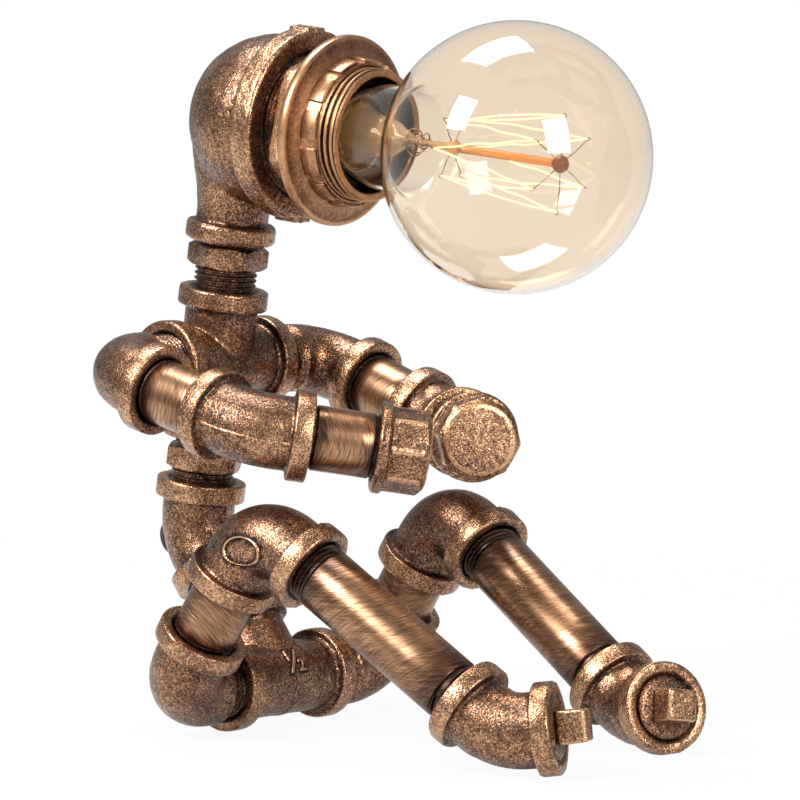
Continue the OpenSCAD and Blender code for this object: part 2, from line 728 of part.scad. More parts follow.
module right_hip_elbow() hip_elbow(RIGHT);
module left_hip_elbow() hip_elbow(LEFT);
module right_thigh_nipple() thigh_nipple(RIGHT);
module left_thigh_nipple() thigh_nipple(LEFT);
module right_knee_elbow() knee_elbow(RIGHT);
module left_knee_elbow() knee_elbow(LEFT);
module right_shin_pipe() shin_pipe(RIGHT);
module left_shin_pipe() shin_pipe(LEFT);
module right_foot_elbow() foot_elbow(RIGHT);
module left_foot_elbow() foot_elbow(LEFT);
module right_toe_plug() toe_plug(RIGHT);
module left_toe_plug() toe_plug(LEFT);

// ---------- Arms ----------

// Cap with an eight sided body behind its band
module hand_cap(side) color(bronze) hand(side) difference() {
    union() {
        rounded_disc(band_d / 2, cap_band_w, band_round);
        intersection() {
            rotate([0, 0, 22.5 + cap_turn[side]]) cylinder(d = cap_af / cos(22.5), h = cap_body, $fn = 8);
            rotate_extrude() polygon([
                [0, 0], [cap_af, 0], [cap_af, cap_body - 9], [cap_af / 2 + 0.9, cap_body - 2.4],
                [cap_af / 2 - 2, cap_body], [0, cap_body]]);
        }
    }
    ahead(-1) cylinder(d = socket_d, h = socket_depth + 1);
    ahead(-countersink) cylinder(d1 = socket_d + 4 * countersink, d2 = socket_d, h = 2 * countersink);
}

module shoulder_elbow(side) color(bronze) shoulder(side) street_elbow(shoulder_bend, shoulder_body);
module upper_arm_nipple(side) color(bronze_pipe) upper_arm(side) nipple(upper_arm_show[side], 1);
module arm_elbow_45(side) color(bronze) arm_elbow(side) elbow(45, arm_reach, angle_bend, angle_socket);
module forearm_nipple(side) color(bronze_pipe) forearm(side) nipple(forearm_show, 1);

module right_shoulder_elbow() shoulder_elbow(RIGHT);
module left_shoulder_elbow() shoulder_elbow(LEFT);
module right_upper_arm() upper_arm_nipple(RIGHT);
module left_upper_arm() upper_arm_nipple(LEFT);
module right_arm_elbow() arm_elbow_45(RIGHT);
module left_arm_elbow() arm_elbow_45(LEFT);
module right_forearm() forearm_nipple(RIGHT);
module left_forearm() forearm_nipple(LEFT);
module right_hand_cap() hand_cap(RIGHT);
module left_hand_cap() hand_cap(LEFT);

pelvis_tee();
torso_nipple();
torso_elbow();
cable_bushing();
waist_nipple();
chest_cross();
neck_nipple();
head_elbow();
mouth_bushing();
holder_skirt();
holder_cap();
holder_ceramic();
holder_screw_shell();
holder_contact();
terminal_screws();
ring_nut();
bulb_cap();
bulb_insulator();
bulb_tip();
bulb_globe();
bulb_stem();
bulb_supports();
bulb_filament();
right_hip_elbow();
right_thigh_nipple();
right_knee_elbow();
right_shin_pipe();
right_foot_elbow();
right_toe_plug();
left_hip_elbow();
left_thigh_nipple();
left_knee_elbow();
left_shin_pipe();
left_foot_elbow();
left_toe_plug();
right_shoulder_elbow();
right_upper_arm();
right_arm_elbow();
right_forearm();
right_hand_cap();
left_shoulder_elbow();
left_upper_arm();
left_arm_elbow();
left_forearm();
left_hand_cap();
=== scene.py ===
import math
import bpy
from mathutils import Matrix, Vector, kdtree


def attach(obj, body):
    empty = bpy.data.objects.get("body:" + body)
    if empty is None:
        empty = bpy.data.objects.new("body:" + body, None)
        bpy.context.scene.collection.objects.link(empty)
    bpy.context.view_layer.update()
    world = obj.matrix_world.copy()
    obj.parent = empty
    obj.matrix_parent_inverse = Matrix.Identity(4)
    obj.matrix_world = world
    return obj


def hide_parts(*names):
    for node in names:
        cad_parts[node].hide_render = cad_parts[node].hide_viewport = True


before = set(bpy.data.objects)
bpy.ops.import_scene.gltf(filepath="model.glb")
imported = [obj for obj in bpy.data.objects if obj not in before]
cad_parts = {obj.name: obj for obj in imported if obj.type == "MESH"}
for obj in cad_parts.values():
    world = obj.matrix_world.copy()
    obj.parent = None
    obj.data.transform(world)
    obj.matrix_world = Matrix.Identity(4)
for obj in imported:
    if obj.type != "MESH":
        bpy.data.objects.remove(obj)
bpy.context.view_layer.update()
scene = bpy.context.scene
mm = 0.001

# ---------- Table and studio ----------
# A pale table top that runs on into a white sweep, with three soft boxes and a long lens.

scene.view_settings.view_transform = "Standard"
scene.unit_settings.system = "METRIC"

camera = bpy.data.objects.new("camera", bpy.data.cameras.new("camera"))
scene.collection.objects.link(camera)
camera_right = Vector((0.65524, -0.75542, 0))
camera_back = Vector((-0.75248, -0.65267, 0.08832))
camera_up = camera_back.cross(camera_right)
camera.matrix_world = Matrix.Translation((-1.46185, -1.26807, 0.28330)) @ Matrix(
    (camera_right, camera_up, camera_back)
).transposed().to_4x4()
camera.data.sensor_width = 36
camera.data.lens = 267.7
camera.data.clip_end = 50
scene.camera = camera


def nodes_of(material):
    """The material's node tree, with two short hands for making and joining its nodes."""
    material.use_nodes = True
    tree = material.node_tree

    def make(kind, **values):
        node = tree.nodes.new(kind)
        for name, value in values.items():
            if hasattr(node, name):
                setattr(node, name, value)
            else:
                node.inputs[name.replace("_", " ")].default_value = value
        return node

    return tree, make, tree.links.new


# the table is its own pale colour to the lamps, and nearly white to the eye and to glass and metal
table_paint = bpy.data.materials.new("table_paint")
tree, make, link = nodes_of(table_paint)
tree.nodes.clear()
table_diffuse = make("ShaderNodeBsdfDiffuse", Color=(0.62, 0.62, 0.62, 1))
table_glow = make("ShaderNodeEmission", Color=(1, 1, 1, 1), Strength=1.0)
table_path = make("ShaderNodeLightPath")
table_seen = make("ShaderNodeMath", operation="MAXIMUM")
table_mirrored = make("ShaderNodeMath", operation="MULTIPLY")
table_mirrored.inputs[1].default_value = 0.35
table_either = make("ShaderNodeMath", operation="MAXIMUM")
table_share = make("ShaderNodeMath", operation="MULTIPLY")
table_mix = make("ShaderNodeMixShader")
table_out = make("ShaderNodeOutputMaterial")
link(table_path.outputs["Is Camera Ray"], table_seen.inputs[0])
link(table_path.outputs["Is Transmission Ray"], table_seen.inputs[1])
link(table_path.outputs["Is Glossy Ray"], table_mirrored.inputs[0])
link(table_seen.outputs[0], table_either.inputs[0])
link(table_mirrored.outputs[0], table_either.inputs[1])
table_away = make("ShaderNodeVectorMath", operation="LENGTH")
table_fade = make("ShaderNodeMapRange")
for i, v in ((1, 0.15), (2, 0.60), (3, 0.94), (4, 1.0)):
    table_fade.inputs[i].default_value = v
link(make("ShaderNodeTexCoord").outputs["Object"], table_away.inputs[0])
link(table_away.outputs["Value"], table_fade.inputs[0])
link(table_fade.outputs[0], table_share.inputs[1])
link(table_either.outputs[0], table_share.inputs[0])
link(table_share.outputs[0], table_mix.inputs[0])
link(table_diffuse.outputs[0], table_mix.inputs[1])
link(table_glow.outputs[0], table_mix.inputs[2])
link(table_mix.outputs[0], table_out.inputs[0])

bpy.ops.object.select_all(action="DESELECT")
bpy.ops.mesh.primitive_plane_add(size=14)
table_top = bpy.context.object
table_top.name = "table_top"
table_top.data.materials.append(table_paint)

world = bpy.data.worlds.new("studio")
scene.world = world
tree, make, link = nodes_of(world)
tree.nodes.clear()
room_light = make("ShaderNodeBackground", Color=(1.0, 0.98, 0.95, 1), Strength=0.15)
room_seen = make("ShaderNodeBackground", Color=(1, 1, 1, 1), Strength=1.0)
room_path = make("ShaderNodeLightPath")
room_seen_by = make("ShaderNodeMath", operation="MAXIMUM")
room_mirrored = make("ShaderNodeMath", operation="MULTIPLY")
room_mirrored.inputs[1].default_value = 0.22
room_either = make("ShaderNodeMath", operation="MAXIMUM")
room_mix = make("ShaderNodeMixShader")
room_out = make("ShaderNodeOutputWorld")
link(room_path.outputs["Is Camera Ray"], room_seen_by.inputs[0])
link(room_path.outputs["Is Transmission Ray"], room_seen_by.inputs[1])
link(room_path.outputs["Is Glossy Ray"], room_mirrored.inputs[0])
link(room_seen_by.outputs[0], room_either.inputs[0])
link(room_mirrored.outputs[0], room_either.inputs[1])
link(room_either.outputs[0], room_mix.inputs[0])
link(room_light.outputs[0], room_mix.inputs[1])
link(room_seen.outputs[0], room_mix.inputs[2])
link(room_mix.outputs[0], room_out.inputs[0])


def soft_box(name, place, aim, width, height, power):
    """A soft box at place that faces aim."""
    lamp = bpy.data.lights.new(name, "AREA")
    lamp.shape = "RECTANGLE"
    lamp.size, lamp.size_y, lamp.energy = width, height, power
    box = bpy.data.objects.new(name, lamp)
    scene.collection.objects.link(box)
    box.location = place
    box.rotation_mode = "QUATERNION"
    box.rotation_quaternion = (Vector(aim) - Vector(place)).to_track_quat("-Z", "Y")


soft_box("key_box", (-1.07, 0.27, 0.96), (0, 0, 0.12), 0.42, 0.60, 27)
soft_box("front_box", (-0.35, -1.45, 0.70), (0, 0, 0.12), 0.55, 0.75, 20)
soft_box("top_box", (0.15, 0.35, 1.35), (0, 0, 0.12), 0.7, 0.5, 15)

# ---------- Pelvis tee ----------
# A half inch tee of malleable iron, sand cast, with a reinforcing band round each port. It is painted black,
# then rubbed with bronze, so that its bands and the tops of its grain shine; sockets and corners get painted shade.

pipe_r = 10.65
thread_r = 10.45
bore_r = 8.05
socket_r = 10.5
waterway_r = 9.0
neck_r = 12.1
band_r = 15.0
band_w = 6.4
square_reach = 25.5
sides = 80


def turned(x=0.0, y=0.0, z=0.0):
    """A turn about x, then y, then z, in degrees."""
    rad = math.radians
    return (
        Matrix.Rotation(rad(z), 4, "Z")
        @ Matrix.Rotation(rad(y), 4, "Y")
        @ Matrix.Rotation(rad(x), 4, "X")
    )


def ahead(distance):
    """A move along the fitting's own axis, in millimetres."""
    return Matrix.Translation((0, 0, distance * mm))


def new(kind, **how):
    """Adds a primitive with nothing else selected."""
    if bpy.context.object and bpy.context.object.mode != "OBJECT":
        bpy.ops.object.mode_set(mode="OBJECT")
    bpy.ops.object.select_all(action="DESELECT")
    scene.tool_settings.mesh_select_mode = (True, False, False)
    getattr(bpy.ops.mesh, "primitive_" + kind + "_add")(**how)
    return bpy.context.object


def only(*pieces):
    """Selects these pieces alone, the first one active."""
    if bpy.context.object and bpy.context.object.mode != "OBJECT":
        bpy.ops.object.mode_set(mode="OBJECT")
    bpy.ops.object.select_all(action="DESELECT")
    for piece in pieces:
        piece.select_set(True)
    bpy.context.view_layer.objects.active = pieces[0]
    return pieces[0]


def pick(piece, kind, wanted):
    """Leaves edit mode selecting the faces or vertices of piece whose element passes wanted."""
    only(piece)
    mesh = piece.data
    for group in (mesh.vertices, mesh.edges, mesh.polygons):
        group.foreach_set("select", [False] * len(group))
    things = mesh.polygons if kind == "FACE" else mesh.vertices
    things.foreach_set("select", [bool(wanted(t)) for t in things])
    bpy.ops.object.mode_set(mode="EDIT")
    bpy.ops.mesh.select_mode(type=kind)


def ring_on(step, way, here, there):
    """Extrudes the selected ring along way from (distance, radius) to (distance, radius), in millimetres."""
    bpy.ops.mesh.extrude_region_move(
        TRANSFORM_OT_translate={"value": way * (there[0] - here[0]) * mm}
    )
    if abs(there[1] - here[1]) > 1e-6:
        bpy.ops.transform.resize(
            value=(there[1] / here[1],) * 3, center_override=step + way * there[0] * mm
        )


def lathe(name, profile, around=sides):
    """A closed turning about z from (height, radius) pairs; a first or last radius of 0 closes it."""
    up = Vector((0, 0, 1))
    piece = new("circle", vertices=around, radius=max(profile[0][1], 0.001) * mm)
    piece.name = name
    bpy.ops.object.mode_set(mode="EDIT")
    bpy.ops.mesh.select_all(action="SELECT")
    bpy.ops.transform.translate(value=up * profile[0][0] * mm)
    here = (profile[0][0], max(profile[0][1], 0.001))
    for there in profile[1:]:
        there = (there[0], max(there[1], 0.001))
        ring_on(Vector(), up, here, there)
        here = there
    bpy.ops.mesh.select_all(action="SELECT")
    bpy.ops.mesh.remove_doubles(threshold=0.004 * mm)
    bpy.ops.mesh.normals_make_consistent(inside=False)
    bpy.ops.object.mode_set(mode="OBJECT")
    return piece


def use(piece, kind, **how):
    """Puts a modifier on piece and applies it."""
    only(piece)
    modifier = piece.modifiers.new(kind.lower(), kind)
    for name, value in how.items():
        setattr(modifier, name, value)
    bpy.ops.object.modifier_apply(modifier=modifier.name)


def join(*pieces):
    only(*pieces)
    bpy.ops.object.join()
    return pieces[0]


def place(piece, matrix):
    """Moves a piece modelled in a fitting's own frame to its place, and puts that place in its mesh."""
    only(piece)
    piece.matrix_world = matrix
    bpy.ops.object.transform_apply(location=True, rotation=True, scale=True)
    if matrix.determinant() < 0:
        bpy.ops.object.mode_set(mode="EDIT")
        bpy.ops.mesh.select_all(action="SELECT")
        bpy.ops.mesh.normals_make_consistent(inside=False)
        bpy.ops.object.mode_set(mode="OBJECT")
    return piece


def copy(piece, name):
    """A copy with its own mesh."""
    other = piece.copy()
    other.data = piece.data.copy()
    other.name = name
    scene.collection.objects.link(other)
    return other


def port(reach, neck=neck_r, depth=11.6, lip=band_r, width=band_w):
    """Outline of a cast port from its neck over the band and down into the socket: (distance, radius)."""
    back = reach - width
    return [
        (back - 1.3, neck), (back - 0.7, neck + 0.08), (back - 0.25, neck + 0.35), (back, neck + 0.8),
        (back + 0.05, lip - 0.8), (back + 0.14, lip - 0.34), (back + 0.34, lip - 0.1), (back + 0.7, lip),
        (reach - 0.8, lip), (reach - 0.4, lip - 0.1), (reach - 0.14, lip - 0.34), (reach, lip - 0.8),
        (reach, socket_r + 1.6), (reach - 0.35, socket_r + 1.0), (reach - 1.3, socket_r + 0.05),
        (reach - 2.2, socket_r), (reach - depth, socket_r), (reach - depth, waterway_r),
    ]


def solid_port(reach, neck=neck_r, lip=band_r, width=band_w):
    """The same outline, closed over its face, for a casting that is bored afterwards."""
    outline = port(reach, neck, 11.6, lip, width)
    return [(0.0, 0.0), (0.0, neck)] + outline[:12] + [(reach, 0.0)]


def socket_cutter(name, reach, depth, away=0.0):
    """What the tap and the countersink take out of a port, with the waterway behind it."""
    return lathe(name, [
        (away, 0.0), (away, waterway_r), (reach - depth, waterway_r), (reach - depth, socket_r),
        (reach - 1.3, socket_r), (reach - 0.35, socket_r + 1.0), (reach + 0.6, socket_r + 2.4),
        (reach + 0.6, 0.0)], 72)


def cast(name, branches, voxel=0.4, blend=14, soft=1.4):
    """One casting from ports that point along the given matrices: joined, grown together, smoothed most
    where the necks meet, and then bored."""
    blanks = []
    for matrix, reach in branches:
        blank = lathe(name + "_blank", solid_port(reach), 72)
        blanks.append(place(blank, matrix))
    core = new("uv_sphere", segments=48, ring_count=24, radius=(neck_r + 0.25) * mm)
    body = join(*blanks, core)
    body.name = name
    use(body, "REMESH", mode="VOXEL", voxel_size=voxel * mm)
    near = body.vertex_groups.new(name="necks")
    for v in body.data.vertices:
        if v.co.length / mm < neck_r + 3 + soft:
            near.add([v.index], 1.0, "REPLACE")
    use(body, "SMOOTH", factor=0.5, iterations=blend, vertex_group="necks")
    use(body, "SMOOTH", factor=0.5, iterations=1)
    cutters = [place(socket_cutter(name + "_tap", reach, 11.6), matrix) for matrix, reach in branches]
    for cutter in cutters:
        use(body, "BOOLEAN", operation="DIFFERENCE", solver="EXACT", object=cutter)
        bpy.data.objects.remove(cutter)
    return body


# per point: 1 on bands that hands and cloths polish, 0 on plain castings and -1 as painted shade in sockets and in the
# creases behind bands
def mark_wear_light_and_shade(piece, ports, base=0.0):
    """Marks how worn each point of a casting is, and paints shade into its sockets and the creases behind its bands,
    from the ports' matrices, reaches and band sizes.
    """
    points = [v.co.copy() for v in piece.data.vertices]
    wear_light_and_shade = [base] * len(points)
    for matrix, reach, lip, width in ports:
        back = matrix.inverted()
        for i, p in enumerate(points):
            q = back @ p
            along, out = q.z / mm, math.hypot(q.x, q.y) / mm
            if along < reach - width - 2.4 or out > lip + 1.5:
                continue
            if out > lip - 0.9 and along > reach - width + 0.1:
                wear_light_and_shade[i] = 1.0
            elif along > reach - 0.5 and out > socket_r + 1.3:
                wear_light_and_shade[i] = 0.75
            # inside the socket: painted shade
            elif out < socket_r + 1.3 and along > reach - 13:
                wear_light_and_shade[i] = -1.0
            # the crease behind the band: painted shade, fading out away from the band
            elif along < reach - width + 0.6:
                wear_light_and_shade[i] = min(wear_light_and_shade[i], -0.9 + abs(along - reach + width) * 0.35)
    kept = piece.data.attributes.get("wear_light_and_shade") or piece.data.attributes.new("wear_light_and_shade", "FLOAT", "POINT")
    kept.data.foreach_set("value", wear_light_and_shade)


cast_waves = bpy.data.textures.new("cast_waves", "CLOUDS")
cast_waves.noise_scale = 6.5 * mm
cast_waves.noise_depth = 2
cast_grains = bpy.data.textures.new("cast_grains", "CLOUDS")
cast_grains.noise_scale = 1.5 * mm
cast_grains.noise_depth = 1


def sand_cast(piece, strength=0.22, grain=0.08):
    """The unevenness that the sand mould leaves."""
    use(piece, "DISPLACE", texture=cast_waves, strength=strength * mm, mid_level=0.5,
        texture_coords="LOCAL")
    use(piece, "DISPLACE", texture=cast_grains, strength=grain * mm, mid_level=0.5,
        texture_coords="LOCAL")


def bronze_rub(name, dark, mid, light, gleam, pits, waves, rough, patch, relief, share=1.0, wear_light_and_shade=0.12):
    """Black painted iron rubbed with bronze, which leaves its pits dark. Pits and waves are the sizes of its
    grain, relief is its depth, all in millimetres; share says how much the pits show, patch how much the
    rubbing varies from place to place, and the last number how much the per-point marks of wear and of
    painted light and shade lighten or darken it."""
    paint = bpy.data.materials.new(name)
    tree, make, link = nodes_of(paint)
    shader = tree.nodes["Principled BSDF"]
    shader.inputs["Metallic"].default_value = 0.92
    where = make("ShaderNodeTexCoord").outputs["Object"]
    pit_grain = make("ShaderNodeTexNoise", Scale=1 / (pits * mm), Detail=3.0, Roughness=0.55)
    wave_grain = make("ShaderNodeTexNoise", Scale=1 / (waves * mm), Detail=3.0, Roughness=0.55)
    patches = make("ShaderNodeTexNoise", Scale=1 / (15 * mm), Detail=3.0, Roughness=0.6)
    for noise in (pit_grain, wave_grain, patches):
        link(where, noise.inputs["Vector"])

    def plus(share, a, b):
        node = make("ShaderNodeMath", operation="MULTIPLY_ADD")
        node.inputs[1].default_value = share
        link(a, node.inputs[0])
        link(b, node.inputs[2])
        return node.outputs[0]

    height = plus(0.38, wave_grain.outputs["Fac"], pit_grain.outputs["Fac"])
    # the per-point marks add rubbing wear and painted light and shade to the colour
    wear_light_shade_share = make("ShaderNodeMath", operation="MULTIPLY")
    wear_light_shade_share.inputs[1].default_value = wear_light_and_shade
    link(make("ShaderNodeAttribute", attribute_name="wear_light_and_shade").outputs["Fac"], wear_light_shade_share.inputs[0])
    rubbed_and_shaded = plus(patch, patches.outputs["Fac"], plus(share, height, wear_light_shade_share.outputs[0]))
    span = make("ShaderNodeMapRange")
    span.inputs[1].default_value = 0.69 * share - 0.27 + patch / 2
    span.inputs[2].default_value = 0.69 * share + 0.27 + patch / 2
    link(rubbed_and_shaded, span.inputs[0])
    colour = make("ShaderNodeValToRGB")
    ramp = colour.color_ramp
    ramp.elements[0].position, ramp.elements[0].color = 0.20, dark + (1,)
    ramp.elements[1].position, ramp.elements[1].color = 0.95, gleam + (1,)
    ramp.elements.new(0.40).color = mid + (1,)
    ramp.elements.new(0.62).color = light + (1,)
    link(span.outputs[0], colour.inputs[0])
    link(colour.outputs["Color"], shader.inputs["Base Color"])
    shine = make("ShaderNodeMapRange")
    for i, v in ((1, 0.25), (2, 0.6), (3, rough + 0.2), (4, rough)):
        shine.inputs[i].default_value = v
    link(span.outputs[0], shine.inputs[0])
    link(shine.outputs[0], shader.inputs["Roughness"])
    bump = make("ShaderNodeBump", Strength=1.0, Distance=relief * mm)
    link(height, bump.inputs["Height"])
    link(bump.outputs[0], shader.inputs["Normal"])
    link(bump.outputs[0], shader.inputs["Coat Normal"])
    shader.inputs["Coat Weight"].default_value = 0.35
    shader.inputs["Coat Roughness"].default_value = 0.30
    return paint


cast_bronze = bronze_rub("cast_bronze", (0.011, 0.005, 0.003), (0.130, 0.060, 0.032), (0.27, 0.132, 0.070),
                         (0.68, 0.41, 0.23), 0.62, 1.8, 0.26, 0.40, 0.16, wear_light_and_shade=0.085)


def finish(piece, material, body, slot, *nodes):
    """Gives the piece its finish and its body, smooths it and hides the solids it stands for."""
    piece.data.materials.clear()
    piece.data.materials.append(material)
    only(piece)
    bpy.ops.object.shade_smooth_by_angle(angle=math.radians(38))
    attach(piece, body)
    if nodes:
        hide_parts(*nodes)
    return piece


seat = Matrix.Translation((-0.72 * mm, 55.26 * mm, 15.0 * mm))
seat_lean = 36.8
tee_ports = [(turned(y=-90), square_reach), (turned(y=90), square_reach), (turned(x=-seat_lean), square_reach)]
pelvis_tee = cast("pelvis_tee_casting", tee_ports)
mark_wear_light_and_shade(pelvis_tee, [(m, r, band_r, band_w) for m, r in tee_ports])


def laid_on(piece, flat, centre, facing, upright, sink=0.0):
    """Wraps a flat shape round a casting: its x and y run over the surface and its z stands out of it. The
    shape is marked rubbed light, and the casting close round it is darkened as painted shade."""
    centre, facing = Vector(centre) * mm, Vector(facing).normalized()
    across = Vector(upright).cross(facing).normalized()
    up = facing.cross(across)
    bpy.context.view_layer.update()
    for v in flat.data.vertices:
        start = centre + across * v.co.x + up * v.co.y + facing * 8 * mm
        found, spot, _, _ = piece.ray_cast(start, -facing)
        v.co = (spot if found else start - facing * 8 * mm) + facing * (v.co.z - sink * mm)
    kept = flat.data.attributes.new("wear_light_and_shade", "FLOAT", "POINT")
    kept.data.foreach_set("value", [2.5] * len(flat.data.vertices))
    near = kdtree.KDTree(len(flat.data.vertices))
    for i, v in enumerate(flat.data.vertices):
        near.insert(v.co, i)
    near.balance()
    wear_light_and_shade = piece.data.attributes["wear_light_and_shade"].data
    # the casting close round the raised shape gets painted shade
    for i, v in enumerate(piece.data.vertices):
        if (v.co - centre).length < 9 * mm and near.find(v.co)[2] < 0.8 * mm:
            wear_light_and_shade[i].value = -3.5
    return join(piece, flat)


# the pipe's size, cast in raised figures
bpy.ops.object.select_all(action="DESELECT")
bpy.ops.object.text_add()
size_mark = bpy.context.object
size_mark.data.body = "½"
size_mark.data.size, size_mark.data.extrude, size_mark.data.offset = 11.5 * mm, 0.4 * mm, 0.10 * mm
size_mark.data.align_x, size_mark.data.align_y = "CENTER", "CENTER"
bpy.ops.object.convert(target="MESH")
size_mark = bpy.context.object
use(size_mark, "REMESH", mode="VOXEL", voxel_size=0.16 * mm)
use(size_mark, "SMOOTH", factor=0.5, iterations=3)
laid_on(pelvis_tee, size_mark, (0, -10.2, 7.0), (0, -0.82, 0.57), (0, 0.57, 0.82), -0.15)
place(pelvis_tee, seat)
sand_cast(pelvis_tee)
finish(pelvis_tee, cast_bronze, "pelvis", "bronze_casting", "pelvis_tee")

# ---------- Torso nipple ----------
# A short length of half inch steel pipe, threaded at both ends and wiped with bronze across its length.


def thread(name, start, end, pitch=1.8, depth=0.85, crest=thread_r, core=bore_r, around=64):
    """A real helical thread between two heights, with a wall inside it that leaves the bore open."""
    turns = max(2, math.ceil((end - start) / pitch))
    root = crest - depth
    piece = new("plane", size=mm)
    piece.name = name
    bpy.ops.object.mode_set(mode="EDIT")
    bpy.ops.mesh.select_all(action="SELECT")
    bpy.ops.mesh.merge(type="CENTER")
    here = (core, start)
    bpy.ops.transform.translate(value=(here[0] * mm, 0, here[1] * mm))
    steps = [(root, start)]
    for k in range(turns):
        z = start + k * pitch
        steps += [(root, z + 0.14 * pitch), (crest, z + 0.42 * pitch), (crest, z + 0.62 * pitch),
                  (root, z + 0.92 * pitch), (root, z + pitch)]
    steps += [(core, start + k * pitch) for k in range(turns, -1, -1)]
    for there in steps:
        if there == here:
            continue
        bpy.ops.mesh.extrude_region_move(
            TRANSFORM_OT_translate={"value": ((there[0] - here[0]) * mm, 0, (there[1] - here[1]) * mm)})
        here = there
    bpy.ops.object.mode_set(mode="OBJECT")
    use(piece, "SCREW", angle=math.tau, screw_offset=pitch * mm, steps=around, render_steps=around,
        iterations=1, use_merge_vertices=True, merge_threshold=0.01 * mm, use_smooth_shade=True)
    pick(piece, "VERT", lambda v: False)
    bpy.ops.mesh.select_non_manifold()
    bpy.ops.mesh.fill(use_beauty=False)
    bpy.ops.mesh.select_all(action="SELECT")
    bpy.ops.mesh.normals_make_consistent(inside=False)
    bpy.ops.object.mode_set(mode="OBJECT")
    return piece


def pipe_blank(name, low, high, smooth_from, smooth_to, radius=pipe_r, inside=11.0):
    """A pipe from low to high whose plain part lies between two heights; the rest is turned down for threads."""
    under = thread_r - 0.9
    outline = [(low - inside, bore_r), (low - inside, under - 0.6), (low - inside + 0.6, under)]
    outline += [(smooth_from - 0.5, under), (smooth_from, radius - 0.12), (smooth_from + 0.25, radius)]
    outline += [(z, radius) for z in (smooth_from + (smooth_to - smooth_from) * k / 4 for k in (1, 2, 3))]
    outline += [(smooth_to - 0.25, radius), (smooth_to, radius - 0.12), (smooth_to + 0.5, under)]
    outline += [(high + inside - 0.6, under), (high + inside, under - 0.6), (high + inside, bore_r),
                (low - inside, bore_r)]
    return lathe(name, outline)


def along(piece, offset):
    """Keeps the pipe's own coordinates on the mesh, so that its scratches follow it wherever it points."""
    kept = piece.data.attributes.new("lengthwise", "FLOAT_VECTOR", "POINT")
    values = []
    for v in piece.data.vertices:
        values += [v.co.x, v.co.y, v.co.z + offset * mm]
    kept.data.foreach_set("vector", values)


def nipple(name, show, out, offset):
    """A pipe that shows between two fittings at heights 0 and show, with out of thread left at each end."""
    body = pipe_blank(name, 0, show, out, show - out)
    lower = thread(name + "_thread", -2.4, out + 0.3)
    upper = thread(name + "_thread", show - out - 0.3, show + 2.4)
    mark_wear_light_and_shade(body, [])
    body = join(body, lower, upper)
    # painted shade on the threads, fading out along the pipe near each fitting
    wear_light_and_shade = body.data.attributes["wear_light_and_shade"]
    for i, v in enumerate(body.data.vertices):
        z = v.co.z / mm
        ends = min(z - out, show - out - z)
        wear_light_and_shade.data[i].value = -1.0 if ends < 0 else (-0.75 + ends * 0.2 if ends < 3.5 else 0.0)
    along(body, offset)
    return body


wiped_bronze = bpy.data.materials.new("wiped_bronze")
tree, make, link = nodes_of(wiped_bronze)
shader = tree.nodes["Principled BSDF"]
shader.inputs["Metallic"].default_value = 0.94
own = make("ShaderNodeAttribute", attribute_name="lengthwise").outputs["Vector"]


def scratches(lean, spread, fineness, detail, rough):
    """Hair lines round the pipe, leaning by two angles in degrees; spread and fineness are their length and
    width in millimetres."""
    aim = make("ShaderNodeMapping", vector_type="TEXTURE")
    aim.inputs["Rotation"].default_value = (math.radians(lean[0]), math.radians(lean[1]), 0)
    aim.inputs["Scale"].default_value = (spread * mm, spread * mm, fineness * mm)
    lines = make("ShaderNodeTexNoise", Scale=1.0, Detail=detail, Roughness=rough)
    link(own, aim.inputs["Vector"])
    link(aim.outputs[0], lines.inputs["Vector"])
    return lines.outputs["Fac"]


def plus(share, a, b):
    node = make("ShaderNodeMath", operation="MULTIPLY_ADD")
    node.inputs[1].default_value = share
    link(a, node.inputs[0])
    link(b, node.inputs[2])
    return node.outputs[0]


hair_lines = scratches((-24, 6), 13, 0.26, 4.0, 0.6)
slanted_lines = scratches((-54, -12), 10, 0.34, 4.0, 0.6)
crossing_lines = scratches((-38, 14), 10, 0.30, 4.0, 0.6)
wipe_clouds = make("ShaderNodeTexNoise", Scale=1 / (9 * mm), Detail=5.0, Roughness=0.62)
link(make("ShaderNodeTexCoord").outputs["Object"], wipe_clouds.inputs["Vector"])
scored = plus(0.5, crossing_lines, plus(0.7, slanted_lines, hair_lines))
wiped = plus(0.45, wipe_clouds.outputs["Fac"], scored)
# the per-point marks darken the pipe near its fittings as painted shade
wiped = plus(0.34, make("ShaderNodeAttribute", attribute_name="wear_light_and_shade").outputs["Fac"], wiped)
wipe_span = make("ShaderNodeMapRange")
wipe_span.inputs[1].default_value, wipe_span.inputs[2].default_value = 0.80, 1.84
link(wiped, wipe_span.inputs[0])
wipe_tone = make("ShaderNodeValToRGB")
ramp = wipe_tone.color_ramp
ramp.elements[0].position, ramp.elements[0].color = 0.10, (0.012, 0.006, 0.004, 1)
ramp.elements[1].position, ramp.elements[1].color = 0.95, (0.80, 0.54, 0.31, 1)
ramp.elements.new(0.36).color = (0.135, 0.062, 0.032, 1)
ramp.elements.new(0.60).color = (0.38, 0.205, 0.108, 1)
link(wipe_span.outputs[0], wipe_tone.inputs[0])
link(wipe_tone.outputs["Color"], shader.inputs["Base Color"])
wipe_shine = make("ShaderNodeMapRange")
for i, v in ((1, 0.1), (2, 0.9), (3, 0.38), (4, 0.24)):
    wipe_shine.inputs[i].default_value = v
link(wipe_span.outputs[0], wipe_shine.inputs[0])
link(wipe_shine.outputs[0], shader.inputs["Roughness"])
wipe_bump = make("ShaderNodeBump", Strength=0.8, Distance=0.010 * mm)
link(scored, wipe_bump.inputs["Height"])
link(wipe_bump.outputs[0], shader.inputs["Normal"])
link(wipe_bump.outputs[0], shader.inputs["Coat Normal"])
shader.inputs["Coat Weight"].default_value = 0.35
shader.inputs["Coat Roughness"].default_value = 0.26

